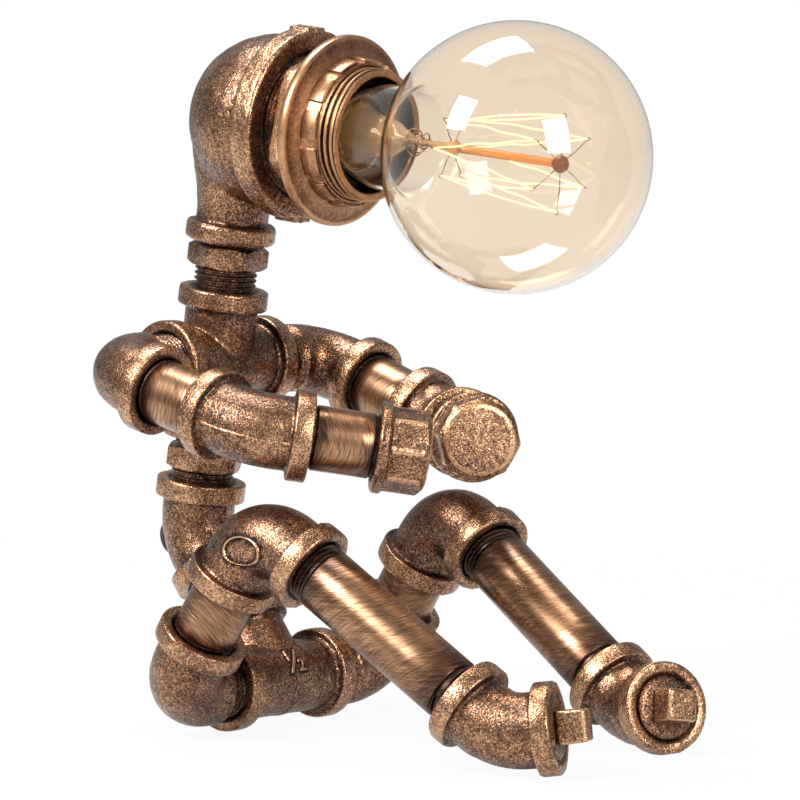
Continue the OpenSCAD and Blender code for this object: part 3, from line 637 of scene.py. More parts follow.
torso_show = 15.0
angle_reach = 18.2
torso_nipple = nipple("torso_nipple_pipe", torso_show, 1.2, 0)
place(torso_nipple, seat @ turned(x=-seat_lean) @ ahead(square_reach))
finish(torso_nipple, wiped_bronze, "pelvis", "bronze_pipe", "torso_nipple")

# ---------- Torso elbow ----------
# A 45 degree elbow, cast like the tee. Its back is drilled for the rubber bushing of the cable entry.


def elbow(name, angle, reach, bend, neck=neck_r, male=None):
    """A cast elbow from the port that looks down, round its bend, to the port that leans towards y.
    With male, the lower end is a plain spigot that long for a thread instead of a port."""
    turn = math.radians(angle)
    low = Vector((0, 0, -1))
    high = Vector((0, math.sin(turn), math.cos(turn)))
    meet = bend * math.tan(turn / 2)
    outline = port(reach, neck)
    inner = reach - 11.6
    if male:
        waist = reach - band_w
        start = [(male, bore_r), (male, thread_r - 1.5), (male - 0.7, thread_r - 0.9),
                 (waist + 0.4, thread_r - 0.9), (waist - 0.2, thread_r - 0.2), (waist - 1.3, neck - 0.5),
                 (waist - 1.9, neck)]
    else:
        start = outline[::-1]
    piece = new("circle", vertices=sides, radius=start[0][1] * mm)
    piece.name = name
    bpy.ops.object.mode_set(mode="EDIT")
    bpy.ops.mesh.select_all(action="SELECT")
    bpy.ops.transform.translate(value=low * start[0][0] * mm)
    here = start[0]
    for there in start[1:] + [(meet, neck)]:
        ring_on(Vector(), low, here, there)
        here = there
    steps = 18 if angle > 60 else 12
    bpy.ops.mesh.spin(steps=steps, angle=turn, center=(0, bend * mm, -meet * mm), axis=(1, 0, 0))
    here = (meet, neck)
    for there in outline:
        ring_on(Vector(), high, here, there)
        here = there
    if male:
        ring_on(Vector(), high, here, (meet, bore_r))
        bpy.ops.mesh.spin(steps=steps, angle=-turn, center=(0, bend * mm, -meet * mm), axis=(1, 0, 0))
        ring_on(Vector(), low, (meet, bore_r), (male, bore_r))
    else:
        tight = inner / math.tan(turn / 2)
        bpy.ops.mesh.spin(steps=steps, angle=-turn, center=(0, tight * mm, -inner * mm), axis=(1, 0, 0))
    bpy.ops.mesh.select_all(action="SELECT")
    bpy.ops.mesh.remove_doubles(threshold=0.01 * mm)
    bpy.ops.mesh.normals_make_consistent(inside=False)
    bpy.ops.object.mode_set(mode="OBJECT")
    # the parting line of the mould runs round the bend in its own plane
    pick(piece, "VERT", lambda v: abs(v.co.x) < 0.02 * mm and min(
        math.hypot(v.co.x, v.co.y) if v.co.z < 0 else 1,
        (v.co - high * max(0, v.co.dot(high))).length) > 11.4 * mm)
    bpy.ops.transform.shrink_fatten(value=0.22 * mm)
    bpy.ops.object.mode_set(mode="OBJECT")
    ports = [(turned(x=-angle), reach, band_r, band_w)]
    if not male:
        ports.append((turned(x=180), reach, band_r, band_w))
    mark_wear_light_and_shade(piece, ports)
    return piece


angle_bend = 21.0
torso = seat @ turned(x=-seat_lean) @ ahead(square_reach + torso_show + angle_reach) @ turned(z=181.5)
angle_elbow = elbow("angle_elbow", 45, angle_reach, angle_bend)
torso_elbow = copy(angle_elbow, "torso_elbow_casting")
entry = Matrix.Translation((0, angle_bend * mm, -angle_bend * math.tan(math.radians(22.5)) * mm)) @ turned(
    x=67.5) @ ahead(angle_bend + neck_r - 1.1)
entry_drill = place(lathe("entry_drill", [(-8, 0), (-8, 4.85), (-0.1, 4.85), (-0.1, 6.75), (6, 6.75), (6, 0)], 48),
                    entry)
use(torso_elbow, "BOOLEAN", operation="DIFFERENCE", solver="EXACT", object=entry_drill)
bpy.data.objects.remove(entry_drill)
place(torso_elbow, torso)
sand_cast(torso_elbow)
finish(torso_elbow, cast_bronze, "pelvis", "bronze_casting", "torso_elbow")

# ---------- Cable bushing ----------
# A moulded rubber bushing pushed into the drilled hole, with a rolled flange outside.

black_rubber = bpy.data.materials.new("moulded_rubber")
tree, make, link = nodes_of(black_rubber)
shader = tree.nodes["Principled BSDF"]
shader.inputs["Roughness"].default_value = 0.62
rubber_dust = make("ShaderNodeTexNoise", Scale=1 / (2.5 * mm), Detail=4.0)
rubber_tone = make("ShaderNodeValToRGB")
rubber_tone.color_ramp.elements[0].color = (0.012, 0.012, 0.012, 1)
rubber_tone.color_ramp.elements[1].color = (0.045, 0.043, 0.040, 1)
rubber_bump = make("ShaderNodeBump", Strength=0.25, Distance=0.05 * mm)
link(make("ShaderNodeTexCoord").outputs["Object"], rubber_dust.inputs["Vector"])
link(rubber_dust.outputs["Fac"], rubber_tone.inputs[0])
link(rubber_tone.outputs["Color"], shader.inputs["Base Color"])
link(rubber_dust.outputs["Fac"], rubber_bump.inputs["Height"])
link(rubber_bump.outputs[0], shader.inputs["Normal"])
cable_bushing = lathe("cable_bushing_moulding", [
    (-4.5, 3.5), (-4.5, 4.4), (-4.2, 4.7), (0, 4.7), (0.0, 6.0), (0.3, 6.3), (1.1, 6.3), (1.7, 6.0), (2.0, 5.2),
    (2.0, 4.2), (1.8, 3.7), (1.3, 3.5), (-4.5, 3.5)], 56)
place(cable_bushing, torso @ entry)
finish(cable_bushing, black_rubber, "pelvis", "black_rubber", "cable_bushing")

# ---------- Waist nipple ----------
# A cast hexagon nipple: a hexagon for the wrench between two taper threads.


def hexagon(name, across, low, high, chamfer, sides_round=0.35):
    """A hexagon between two heights with its corners turned off and its edges eased."""
    piece = new("cylinder", vertices=6, radius=across / 2 / math.cos(math.pi / 6) * mm, depth=(high - low) * mm)
    piece.name = name
    bpy.ops.object.mode_set(mode="EDIT")
    bpy.ops.mesh.select_all(action="SELECT")
    bpy.ops.transform.rotate(value=math.radians(30), orient_axis="Z", center_override=(0, 0, 0))
    bpy.ops.transform.translate(value=(0, 0, (low + high) / 2 * mm))
    bpy.ops.object.mode_set(mode="OBJECT")
    r = across / 2 / math.cos(math.pi / 6)
    rise = chamfer * 0.58
    cone = lathe(name + "_turning", [
        (low, 0), (low, r - chamfer), (low + rise, r + 0.02), (high - rise, r + 0.02), (high, r - chamfer),
        (high, 0)], 120)
    use(piece, "BOOLEAN", operation="INTERSECT", solver="EXACT", object=cone)
    bpy.data.objects.remove(cone)
    use(piece, "BEVEL", width=sides_round * mm, segments=2, limit_method="ANGLE", angle_limit=math.radians(25))
    return piece


def hex_nipple(name, across, below, height, above):
    """Hexagon nipple that stands on a fitting at height 0."""
    total = below + height + above
    core = pipe_blank(name, 0, total, below - 0.2, below + height + 0.2, thread_r - 0.5)
    lower = thread(name + "_thread", -2.6, below + 0.2)
    upper = thread(name + "_thread", below + height - 0.2, total + 2.6, crest=thread_r - 0.15)
    grip = hexagon(name + "_grip", across, below, below + height, 1.6)
    piece = join(core, lower, upper, grip)
    # the hexagon's flats are rubbed light; the threads and core are darkened as painted shade
    wear_light_and_shade = piece.data.attributes.new("wear_light_and_shade", "FLOAT", "POINT")
    for i, v in enumerate(piece.data.vertices):
        z, out = v.co.z / mm, math.hypot(v.co.x, v.co.y) / mm
        wear_light_and_shade.data[i].value = 0.45 if out > across / 2 - 0.8 else -0.8
    return piece


hex_af = 23.4
waist_below, hex_h, waist_above = 4.0, 7.2, 3.3
spine = torso @ turned(x=-45) @ turned(z=178.5)
waist_nipple = hex_nipple("waist_nipple_hexagon", hex_af, waist_below, hex_h, waist_above)
place(waist_nipple, spine @ ahead(angle_reach) @ turned(z=34))
sand_cast(waist_nipple, 0.12, 0.08)
finish(waist_nipple, cast_bronze, "pelvis", "bronze_casting", "waist_nipple")

# ---------- Chest cross ----------
# A four way cross; the neck, the waist and both shoulders screw into it.

chest = spine @ ahead(angle_reach + waist_below + hex_h + waist_above + square_reach)
cross_ports = [(turned(y=-90), square_reach), (turned(y=90), square_reach), (turned(), square_reach),
               (turned(x=180), square_reach)]
chest_cross = cast("chest_cross_casting", cross_ports)
mark_wear_light_and_shade(chest_cross, [(m, r, band_r, band_w) for m, r in cross_ports])
place(chest_cross, chest)
sand_cast(chest_cross)
finish(chest_cross, cast_bronze, "chest", "bronze_casting", "chest_cross")

# ---------- Neck nipple ----------
# The same hexagon nipple as the waist's, screwed less deep, so that its thread shows under the hexagon.

neck_below, neck_above = 7.4, 1.4
neck_nipple = hex_nipple("neck_nipple_hexagon", hex_af, neck_below, hex_h, neck_above)
place(neck_nipple, chest @ ahead(square_reach) @ turned(z=11))
sand_cast(neck_nipple, 0.12, 0.08)
finish(neck_nipple, cast_bronze, "chest", "bronze_casting", "neck_nipple")

# ---------- Head elbow ----------
# A large reducing elbow, cast in one: a rounded skull, a flared neck with its band and the wide mouth's band
# with a lug where the halves of the mould met.

head_drop, head_reach, head_rake = 42.5, 28.9, 3.0
skull_r, skull_ahead = 28.3, 13.2
mouth_band_r, mouth_band_w, mouth_thread_r = 31.6, 9.4, 23.9
head = chest @ ahead(square_reach + neck_below + hex_h + neck_above + head_drop) @ turned(z=2)
to_mouth = turned(x=90 - head_rake)
mouth = head @ to_mouth

head_elbow = new("uv_sphere", segments=128, ring_count=64, radius=skull_r * mm)
head_elbow.name = "head_elbow_casting"
place(head_elbow, to_mouth @ ahead(skull_ahead))
flare_low, flare_rise = band_w / 2 + 1, head_drop - band_w - 4
flare_out = skull_r * 0.6 - neck_r
skull_neck = [(-head_drop + band_w / 2, 0), (-head_drop + band_w / 2, neck_r)]
skull_neck += [(-head_drop + band_w / 2 + flare_low + flare_rise * k / 8,
                neck_r + flare_out * (1 - math.cos(k * math.pi / 8)) / 2) for k in range(9)]
skull_neck.append((6.0, 0))
neck_blank = lathe("head_neck_blank", skull_neck, 96)
skull_front = place(lathe("skull_front_blank", [
    (skull_ahead, 0), (skull_ahead, skull_r - 0.4), (head_reach - mouth_band_w, skull_r - 0.4),
    (head_reach - mouth_band_w + 0.6, mouth_band_r - 1.0), (head_reach - mouth_band_w + 1.5, mouth_band_r - 0.1),
    (head_reach - mouth_band_w + 2.2, mouth_band_r), (head_reach - 1.2, mouth_band_r),
    (head_reach - 0.4, mouth_band_r - 0.4), (head_reach, mouth_band_r - 1.4), (head_reach, 0)], 144), to_mouth)
neck_band = lathe("neck_band_blank", [
    (-head_drop, 0), (-head_drop, band_r - 1.1), (-head_drop + 0.3, band_r - 0.4), (-head_drop + 1.1, band_r),
    (-head_drop + band_w - 1.1, band_r), (-head_drop + band_w - 0.3, band_r - 0.4),
    (-head_drop + band_w, band_r - 1.2), (-head_drop + band_w, 0)], 72)
lugs = []
for side in (-1, 1):
    lug = new("cube", size=mm)
    bpy.ops.object.mode_set(mode="EDIT")
    bpy.ops.transform.resize(value=(9.0, 2.6, mouth_band_w - 1.2))
    bpy.ops.transform.translate(
        value=(0, side * (mouth_band_r - 0.55) * mm, (head_reach - mouth_band_w / 2) * mm))
    bpy.ops.object.mode_set(mode="OBJECT")
    lugs.append(place(lug, to_mouth))
join(head_elbow, neck_blank, skull_front, neck_band, *lugs)
use(head_elbow, "REMESH", mode="VOXEL", voxel_size=0.55 * mm)
blend_zone = head_elbow.vertex_groups.new(name="blend")
for v in head_elbow.data.vertices:
    q = to_mouth.inverted() @ v.co
    if q.z / mm < head_reach - mouth_band_w - 0.5 and v.co.z / mm > -head_drop + band_w + 2.0:
        blend_zone.add([v.index], 1.0, "REPLACE")
use(head_elbow, "SMOOTH", factor=0.5, iterations=26, vertex_group="blend")
use(head_elbow, "SMOOTH", factor=0.5, iterations=2)
# parting line of the mould over the skull
pick(head_elbow, "VERT", lambda v: abs(v.co.x) < 0.42 * mm)
bpy.ops.transform.shrink_fatten(value=0.28 * mm)
bpy.ops.object.mode_set(mode="OBJECT")
for cutter in (
    place(lathe("mouth_tap", [
        (head_reach - 17, 0), (head_reach - 17, mouth_thread_r), (head_reach - 1.2, mouth_thread_r + 0.05),
        (head_reach - 0.4, mouth_thread_r + 0.9), (head_reach + 1, mouth_thread_r + 2.6),
        (head_reach + 1, 0)], 128), to_mouth),
    place(socket_cutter("neck_tap", head_drop, 13.5), turned(x=180)),
    place(lathe("skull_core", [(-24.0 + 2 * k, math.sqrt(max(0.0, 24.6 ** 2 - (-24.0 + 2 * k) ** 2)))
                               for k in range(25)], 64), to_mouth @ ahead(skull_ahead)),
):
    use(head_elbow, "BOOLEAN", operation="DIFFERENCE", solver="EXACT", object=cutter)
    bpy.data.objects.remove(cutter)
mark_wear_light_and_shade(head_elbow, [(turned(x=180), head_drop, band_r, band_w)])
wear_light_and_shade = head_elbow.data.attributes["wear_light_and_shade"]
for i, v in enumerate(head_elbow.data.vertices):
    q = to_mouth.inverted() @ v.co
    z, out = q.z / mm, math.hypot(q.x, q.y) / mm
    # the band is rubbed light; the mouth's recess between band and thread is darkened as painted shade
    if z > head_reach - mouth_band_w - 1.5 and out > mouth_thread_r + 0.6:
        wear_light_and_shade.data[i].value = 1.0 if out > mouth_band_r - 1.2 else (
            0.4 if z > head_reach - 0.6 else -0.9)
place(head_elbow, head)
sand_cast(head_elbow, 0.5, 0.2)
finish(head_elbow, cast_bronze, "head", "bronze_casting", "head_elbow")

# ---------- Mouth bushing ----------
# A hexagon reducing bushing screwed into the mouth, through which the lampholder's skirt passes.

collar_af, collar_z, collar_h = 51.4, head_reach + 5.8, 5.8
skirt_r, skirt_root = 22.0, 21.3
bushing = hexagon("mouth_bushing_hexagon", collar_af, collar_z, collar_z + collar_h, 2.0, 0.5)
place(bushing, turned(z=20))
bushing_thread = thread("bushing_thread", head_reach - 9, collar_z + 0.3, 2.3, 1.1, mouth_thread_r - 0.1,
                        skirt_r + 0.4, 112)
bushing_hole = lathe("bushing_hole", [(collar_z - 1, 0), (collar_z - 1, skirt_r + 0.25),
                                      (collar_z + collar_h + 1, skirt_r + 0.25), (collar_z + collar_h + 1, 0)], 112)
use(bushing, "BOOLEAN", operation="DIFFERENCE", solver="EXACT", object=bushing_hole)
bpy.data.objects.remove(bushing_hole)
join(bushing, bushing_thread)
# the hexagon's flats are rubbed light and lightened further as painted light; the thread and bore are darkened as
# painted shade
wear_light_and_shade = bushing.data.attributes.new("wear_light_and_shade", "FLOAT", "POINT")
for i, v in enumerate(bushing.data.vertices):
    out = math.hypot(v.co.x, v.co.y) / mm
    wear_light_and_shade.data[i].value = 2.5 if out > collar_af / 2 - 1 and v.co.z / mm > collar_z - 0.1 else -0.9
place(bushing, mouth)
sand_cast(bushing, 0.15, 0.1)
finish(bushing, cast_bronze, "head", "bronze_casting", "mouth_bushing")

# ---------- Lampholder skirt ----------
# A threaded sleeve of bronzed sheet metal that carries the holder's ceramic and stands out of the bushing.

skirt_mouth = collar_z + collar_h + 17.0
bushing_back = head_reach - 9.0
skirt_in = skirt_root - 1.5
skirt_tube = lathe("holder_skirt_sleeve", [
    (bushing_back - 2.4, skirt_in), (bushing_back - 2.4, mouth_thread_r - 0.5), (bushing_back, mouth_thread_r - 0.5),
    (bushing_back, skirt_root - 0.1), (skirt_mouth - 1.6, skirt_root - 0.1), (skirt_mouth - 1.1, skirt_root + 0.35),
    (skirt_mouth - 0.35, skirt_root + 0.35), (skirt_mouth, skirt_root), (skirt_mouth, skirt_in - 0.1),
    (skirt_mouth - 0.5, skirt_in - 0.55), (skirt_mouth - 2.0, skirt_in - 0.55), (skirt_mouth - 2.6, skirt_in),
    (bushing_back - 2.4, skirt_in)], 128)
skirt_thread = thread("skirt_thread", collar_z + 1.0, skirt_mouth - 1.8, 2.5, 1.0, skirt_r, skirt_root - 0.8, 128)
join(skirt_tube, skirt_thread)
# the outer thread and mouth rim are rubbed light; the inside of the sleeve is darkened as painted shade
wear_light_and_shade = skirt_tube.data.attributes.new("wear_light_and_shade", "FLOAT", "POINT")
for i, v in enumerate(skirt_tube.data.vertices):
    out, z = math.hypot(v.co.x, v.co.y) / mm, v.co.z / mm
    wear_light_and_shade.data[i].value = 0.9 if out > skirt_r - 0.3 else (
        0.5 if z > skirt_mouth - 0.9 else -1.0)
place(skirt_tube, mouth)
sheet_bronze = bronze_rub("sheet_bronze", (0.016, 0.007, 0.004), (0.075, 0.032, 0.018), (0.25, 0.115, 0.058),
                          (0.50, 0.27, 0.135), 0.9, 5.0, 0.36, 0.3, 0.02, share=0.55, wear_light_and_shade=0.42)
sheet_bronze.node_tree.nodes["Principled BSDF"].inputs["Coat Weight"].default_value = 0.08
finish(skirt_tube, sheet_bronze, "head", "bronze_sheet", "holder_skirt")

# ---------- Ring nut ----------
# The shade ring: a flange with a grip of twelve pads, turned by hand up against the bushing.

ring_z, ring_flange, ring_grip_h = collar_z + collar_h, 3.8, 7.0
ring_r, grip_r, ring_pads = 31.6, 25.0, 12
ring_nut = lathe("ring_nut_turning", [
    (ring_z, skirt_r + 0.06), (ring_z, ring_r - 1.6), (ring_z + 0.25, ring_r - 0.9), (ring_z + 0.9, ring_r - 0.2),
    (ring_z + 1.5, ring_r), (ring_z + ring_flange - 0.9, ring_r), (ring_z + ring_flange - 0.3, ring_r - 0.25),
    (ring_z + ring_flange, ring_r - 0.9), (ring_z + ring_flange - 0.1, ring_r - 1.8),
    (ring_z + ring_flange + 0.5, grip_r + 1.6), (ring_z + ring_flange + 1.2, grip_r + 0.5),
    (ring_z + ring_flange + 1.5, grip_r - 1.1), (ring_z + ring_flange + ring_grip_h - 0.9, grip_r - 1.6),
    (ring_z + ring_flange + ring_grip_h - 0.3, grip_r - 1.9), (ring_z + ring_flange + ring_grip_h, grip_r - 2.3),
    (ring_z + ring_flange + ring_grip_h, skirt_r + 0.5), (ring_z + ring_flange + ring_grip_h - 0.5, skirt_r + 0.06),
    (ring_z, skirt_r + 0.06)], 180)


def on_pad(face):
    """Faces of the grip's side that lie between two slots."""
    z, out = face.center.z / mm, math.hypot(face.center.x, face.center.y) / mm
    if not (ring_z + ring_flange + 1.6 < z < ring_z + ring_flange + ring_grip_h - 0.2 and out > grip_r - 2.4):
        return False
    angle = (math.degrees(math.atan2(face.center.y, face.center.x)) - 8) % (360 / ring_pads)
    return 3.4 < angle < 360 / ring_pads - 3.4


pick(ring_nut, "FACE", on_pad)
bpy.ops.mesh.extrude_region_shrink_fatten(TRANSFORM_OT_shrink_fatten={"value": 1.15 * mm})
bpy.ops.object.mode_set(mode="OBJECT")
use(ring_nut, "BEVEL", width=0.22 * mm, segments=2, limit_method="ANGLE", angle_limit=math.radians(50))
# lighter on the flange's rim and the pads, slightly darker behind the flange and in the bore
wear_light_and_shade = ring_nut.data.attributes.new("wear_light_and_shade", "FLOAT", "POINT")
for i, v in enumerate(ring_nut.data.vertices):
    out, z = math.hypot(v.co.x, v.co.y) / mm, v.co.z / mm - ring_z
    wear_light_and_shade.data[i].value = 1.0 if out > ring_r - 1.2 else (
        0.8 if z > ring_flange + 1.5 and out > grip_r - 1.4 else (0.25 if z > ring_flange else -0.3))
place(ring_nut, mouth)
ring_bronze = bronze_rub("ring_bronze", (0.055, 0.023, 0.012), (0.185, 0.080, 0.040), (0.31, 0.145, 0.072),
                         (0.52, 0.28, 0.140), 1.0, 4.5, 0.30, 0.4, 0.04, share=0.55, wear_light_and_shade=0.20)
finish(ring_nut, ring_bronze, "ring", "bronze_sheet", "ring_nut")

# ---------- Hips, thighs and knees ----------
# Street elbows screwed into the tee, short nipples up to the knees, and full 90 degree elbows for knees. The
# left limb is the mirror of the right one.

RIGHT, LEFT = 0, 1
side_name = ("right", "left")
mirrored = (Matrix.Identity(4), Matrix.Scale(-1, 4, (1, 0, 0)))
square_bend, street_reach, hip_stand = 14.2, 37.6, 23.3
thigh_show, thigh_lean, shin_turn = (19.5, 15.1), (33.38, 32.32), (6.0, 7.3)
shin_show, foot_turn = 67.1, (56.4, 69.7)

street_elbow = elbow("street_elbow", 90, square_reach, square_bend, male=street_reach - 0.6)
spigot = thread("spigot_thread", 0, 17.0)
place(spigot, turned(x=180) @ ahead(square_reach - band_w + 0.3))
# the spigot's thread is darkened as painted shade
spigot_shade = spigot.data.attributes.new("wear_light_and_shade", "FLOAT", "POINT")
spigot_shade.data.foreach_set("value", [-0.9] * len(spigot.data.vertices))
join(street_elbow, spigot)
square_elbow = elbow("square_elbow", 90, square_reach, square_bend)

for side in (RIGHT, LEFT):
    who = side_name[side]
    hip = seat @ mirrored[side] @ turned(y=-90) @ ahead(square_reach + hip_stand) @ turned(z=-90 - thigh_lean[side])
    thigh = hip @ turned(x=-90) @ ahead(square_reach)
    knee = thigh @ ahead(thigh_show[side] + square_reach) @ turned(z=shin_turn[side] - 90)
    shin = knee @ turned(x=-90) @ ahead(square_reach)
    ankle = shin @ ahead(shin_show + angle_reach) @ turned(z=90 + foot_turn[side])
    toe = ankle @ turned(x=-45) @ ahead(angle_reach)
    hip_elbow = copy(street_elbow, who + "_hip_casting")
    place(hip_elbow, hip)
    sand_cast(hip_elbow)
    finish(hip_elbow, cast_bronze, who + "_thigh", "bronze_casting", who + "_hip_elbow")
    thigh_pipe = nipple(who + "_thigh_pipe", thigh_show[side], 1.2, 40 + 30 * side)
    place(thigh_pipe, thigh)
    finish(thigh_pipe, wiped_bronze, who + "_thigh", "bronze_pipe", who + "_thigh_nipple")
    knee_elbow = copy(square_elbow, who + "_knee_casting")
    place(knee_elbow, knee)
    if side == RIGHT:
        # a bare oval, raised by the mould
        oval = new("torus", major_radius=6.3 * mm, minor_radius=0.48 * mm, major_segments=64, minor_segments=8)
        bpy.ops.object.mode_set(mode="EDIT")
        bpy.ops.transform.resize(value=(1.12, 0.74, 1))
        bpy.ops.object.mode_set(mode="OBJECT")
        knee_elbow = laid_on(knee_elbow, oval, (-61.0, 14.6, 66.2), (-1, -0.05, 0), (0, 0, 1), -0.12)
    sand_cast(knee_elbow)
    finish(knee_elbow, cast_bronze, who + "_shin", "bronze_casting", who + "_knee_elbow")

    # ---------- Shins, feet and toes ----------
    # The longest pipes, wiped bright, then 45 degree elbows closed by square headed plugs.
    shin_pipe = nipple(who + "_shin_length", shin_show, 4.6, 150 + 90 * side)
    place(shin_pipe, shin)
    finish(shin_pipe, wiped_bronze, who + "_shin", "bronze_pipe", who + "_shin_pipe")
    foot_elbow = copy(angle_elbow, who + "_foot_casting")
    place(foot_elbow, ankle)
    sand_cast(foot_elbow)
    finish(foot_elbow, cast_bronze, who + "_foot", "bronze_casting", who + "_foot_elbow")
    toe_plug = new("cube", size=mm)
    toe_plug.name = who + "_toe_square"
    bpy.ops.object.mode_set(mode="EDIT")
    bpy.ops.transform.resize(value=(11.0, 11.0, 9.6))
    bpy.ops.transform.translate(value=(0, 0, 5.2 * mm))
    bpy.ops.object.mode_set(mode="OBJECT")
    pick(toe_plug, "FACE", lambda f: f.normal.z > 0.9)
    bpy.ops.transform.resize(value=(0.93, 0.93, 1), center_override=(0, 0, 10 * mm))
    bpy.ops.object.mode_set(mode="OBJECT")
    use(toe_plug, "BEVEL", width=0.9 * mm, segments=3, limit_method="ANGLE")
    use(toe_plug, "SUBSURF", levels=3, render_levels=3, subdivision_type="SIMPLE")
    plug_disc = lathe("toe_disc", [(-9.5, 0), (-9.5, 9.8), (-0.9, 10.42), (-0.5, 10.3), (0.1, 9.4), (0.2, 8.6),
                                   (0.2, 0)], 64)
    place(toe_plug, turned(z=(20, 22)[side]))
    join(toe_plug, plug_disc)
    wear_light_and_shade = toe_plug.data.attributes.new("wear_light_and_shade", "FLOAT", "POINT")
    # painted shade at the foot of the plug where it meets the elbow; the edges and faces are rubbed light
    for i, v in enumerate(toe_plug.data.vertices):
        x, y, z = turned(z=-(20, 22)[side]) @ v.co / mm
        edges = (abs(x) > 4.7) + (abs(y) > 4.7) + (z > 9.1)
        wear_light_and_shade.data[i].value = -0.8 if z < 1.2 else (3.0 if edges > 1 else 1.0)
    place(toe_plug, toe)
    sand_cast(toe_plug, 0.2, 0.12)
    finish(toe_plug, cast_bronze, who + "_foot", "bronze_casting", who + "_toe_plug")

# ---------- Shoulders, arms and hands ----------
# Slimmer street elbows in the cross, nipples, 45 degree elbows bent inward and eight sided caps for hands.

shoulder_bend, shoulder_neck, shoulder_stand = 16.5, 11.5, 26.7
arm_drop, arm_turn = (5.4, 11.1), (2.3, 22.3)
upper_arm_show, forearm_show, arm_reach = (21.8, 20.1), 21.2, 19.2
cap_af, cap_body, cap_band_w = 25.8, 17.4, 3.8

def wire(name, points, radius, closed=False, around=3):
    """A round wire through points in millimetres."""
    bpy.ops.object.select_all(action="DESELECT")
    bpy.ops.curve.primitive_nurbs_path_add()
    strand = bpy.context.object
    strand.name = name
    curve = strand.data
    curve.splines.clear()
    spline = curve.splines.new("POLY")
    spline.points.add(len(points) - 1)
    for knot, p in zip(spline.points, points):
        knot.co = (p[0] * mm, p[1] * mm, p[2] * mm, 1)
    spline.use_cyclic_u = closed
    curve.bevel_depth = radius * mm
    curve.bevel_resolution = around
    curve.use_fill_caps = not closed
    bpy.ops.object.convert(target="MESH")
    return strand


def rib(casting, angle, reach, bend, neck, thick):
    """The heavy parting line that a worn mould leaves along the outside of a bend."""
    turn, out = math.radians(angle), neck - 0.1
    meet = bend * math.tan(turn / 2)
    end = reach - band_w + 0.3
    high = Vector((0, math.sin(turn), math.cos(turn)))
    line = [Vector((0, -out, -end)), Vector((0, -out, -(end + meet) / 2))]
    line += [Vector((0, bend - (bend + out) * math.cos(turn * k / 10), -meet + (bend + out) * math.sin(turn * k / 10)))
             for k in range(11)]
    line += [line[-1] + high * (end - meet) / 2, line[-1] + high * (end - meet)]
    bead = wire("rib", line, thick, around=2)
    kept = bead.data.attributes.new("wear_light_and_shade", "FLOAT", "POINT")
    kept.data.foreach_set("value", [1.0] * len(bead.data.vertices))
    return join(casting, bead)


slim_street = elbow("slim_street", 90, square_reach, shoulder_bend, shoulder_neck, male=street_reach - 0.6)
spigot = thread("spigot_thread", 0, 17.0)
place(spigot, turned(x=180) @ ahead(square_reach - band_w + 0.3))
# the spigot's thread is darkened as painted shade
spigot_shade = spigot.data.attributes.new("wear_light_and_shade", "FLOAT", "POINT")
spigot_shade.data.foreach_set("value", [-0.9] * len(spigot.data.vertices))
join(slim_street, spigot)
arm_angle = rib(elbow("arm_angle", 45, arm_reach, angle_bend), 45, arm_reach, angle_bend, neck_r, 0.55)

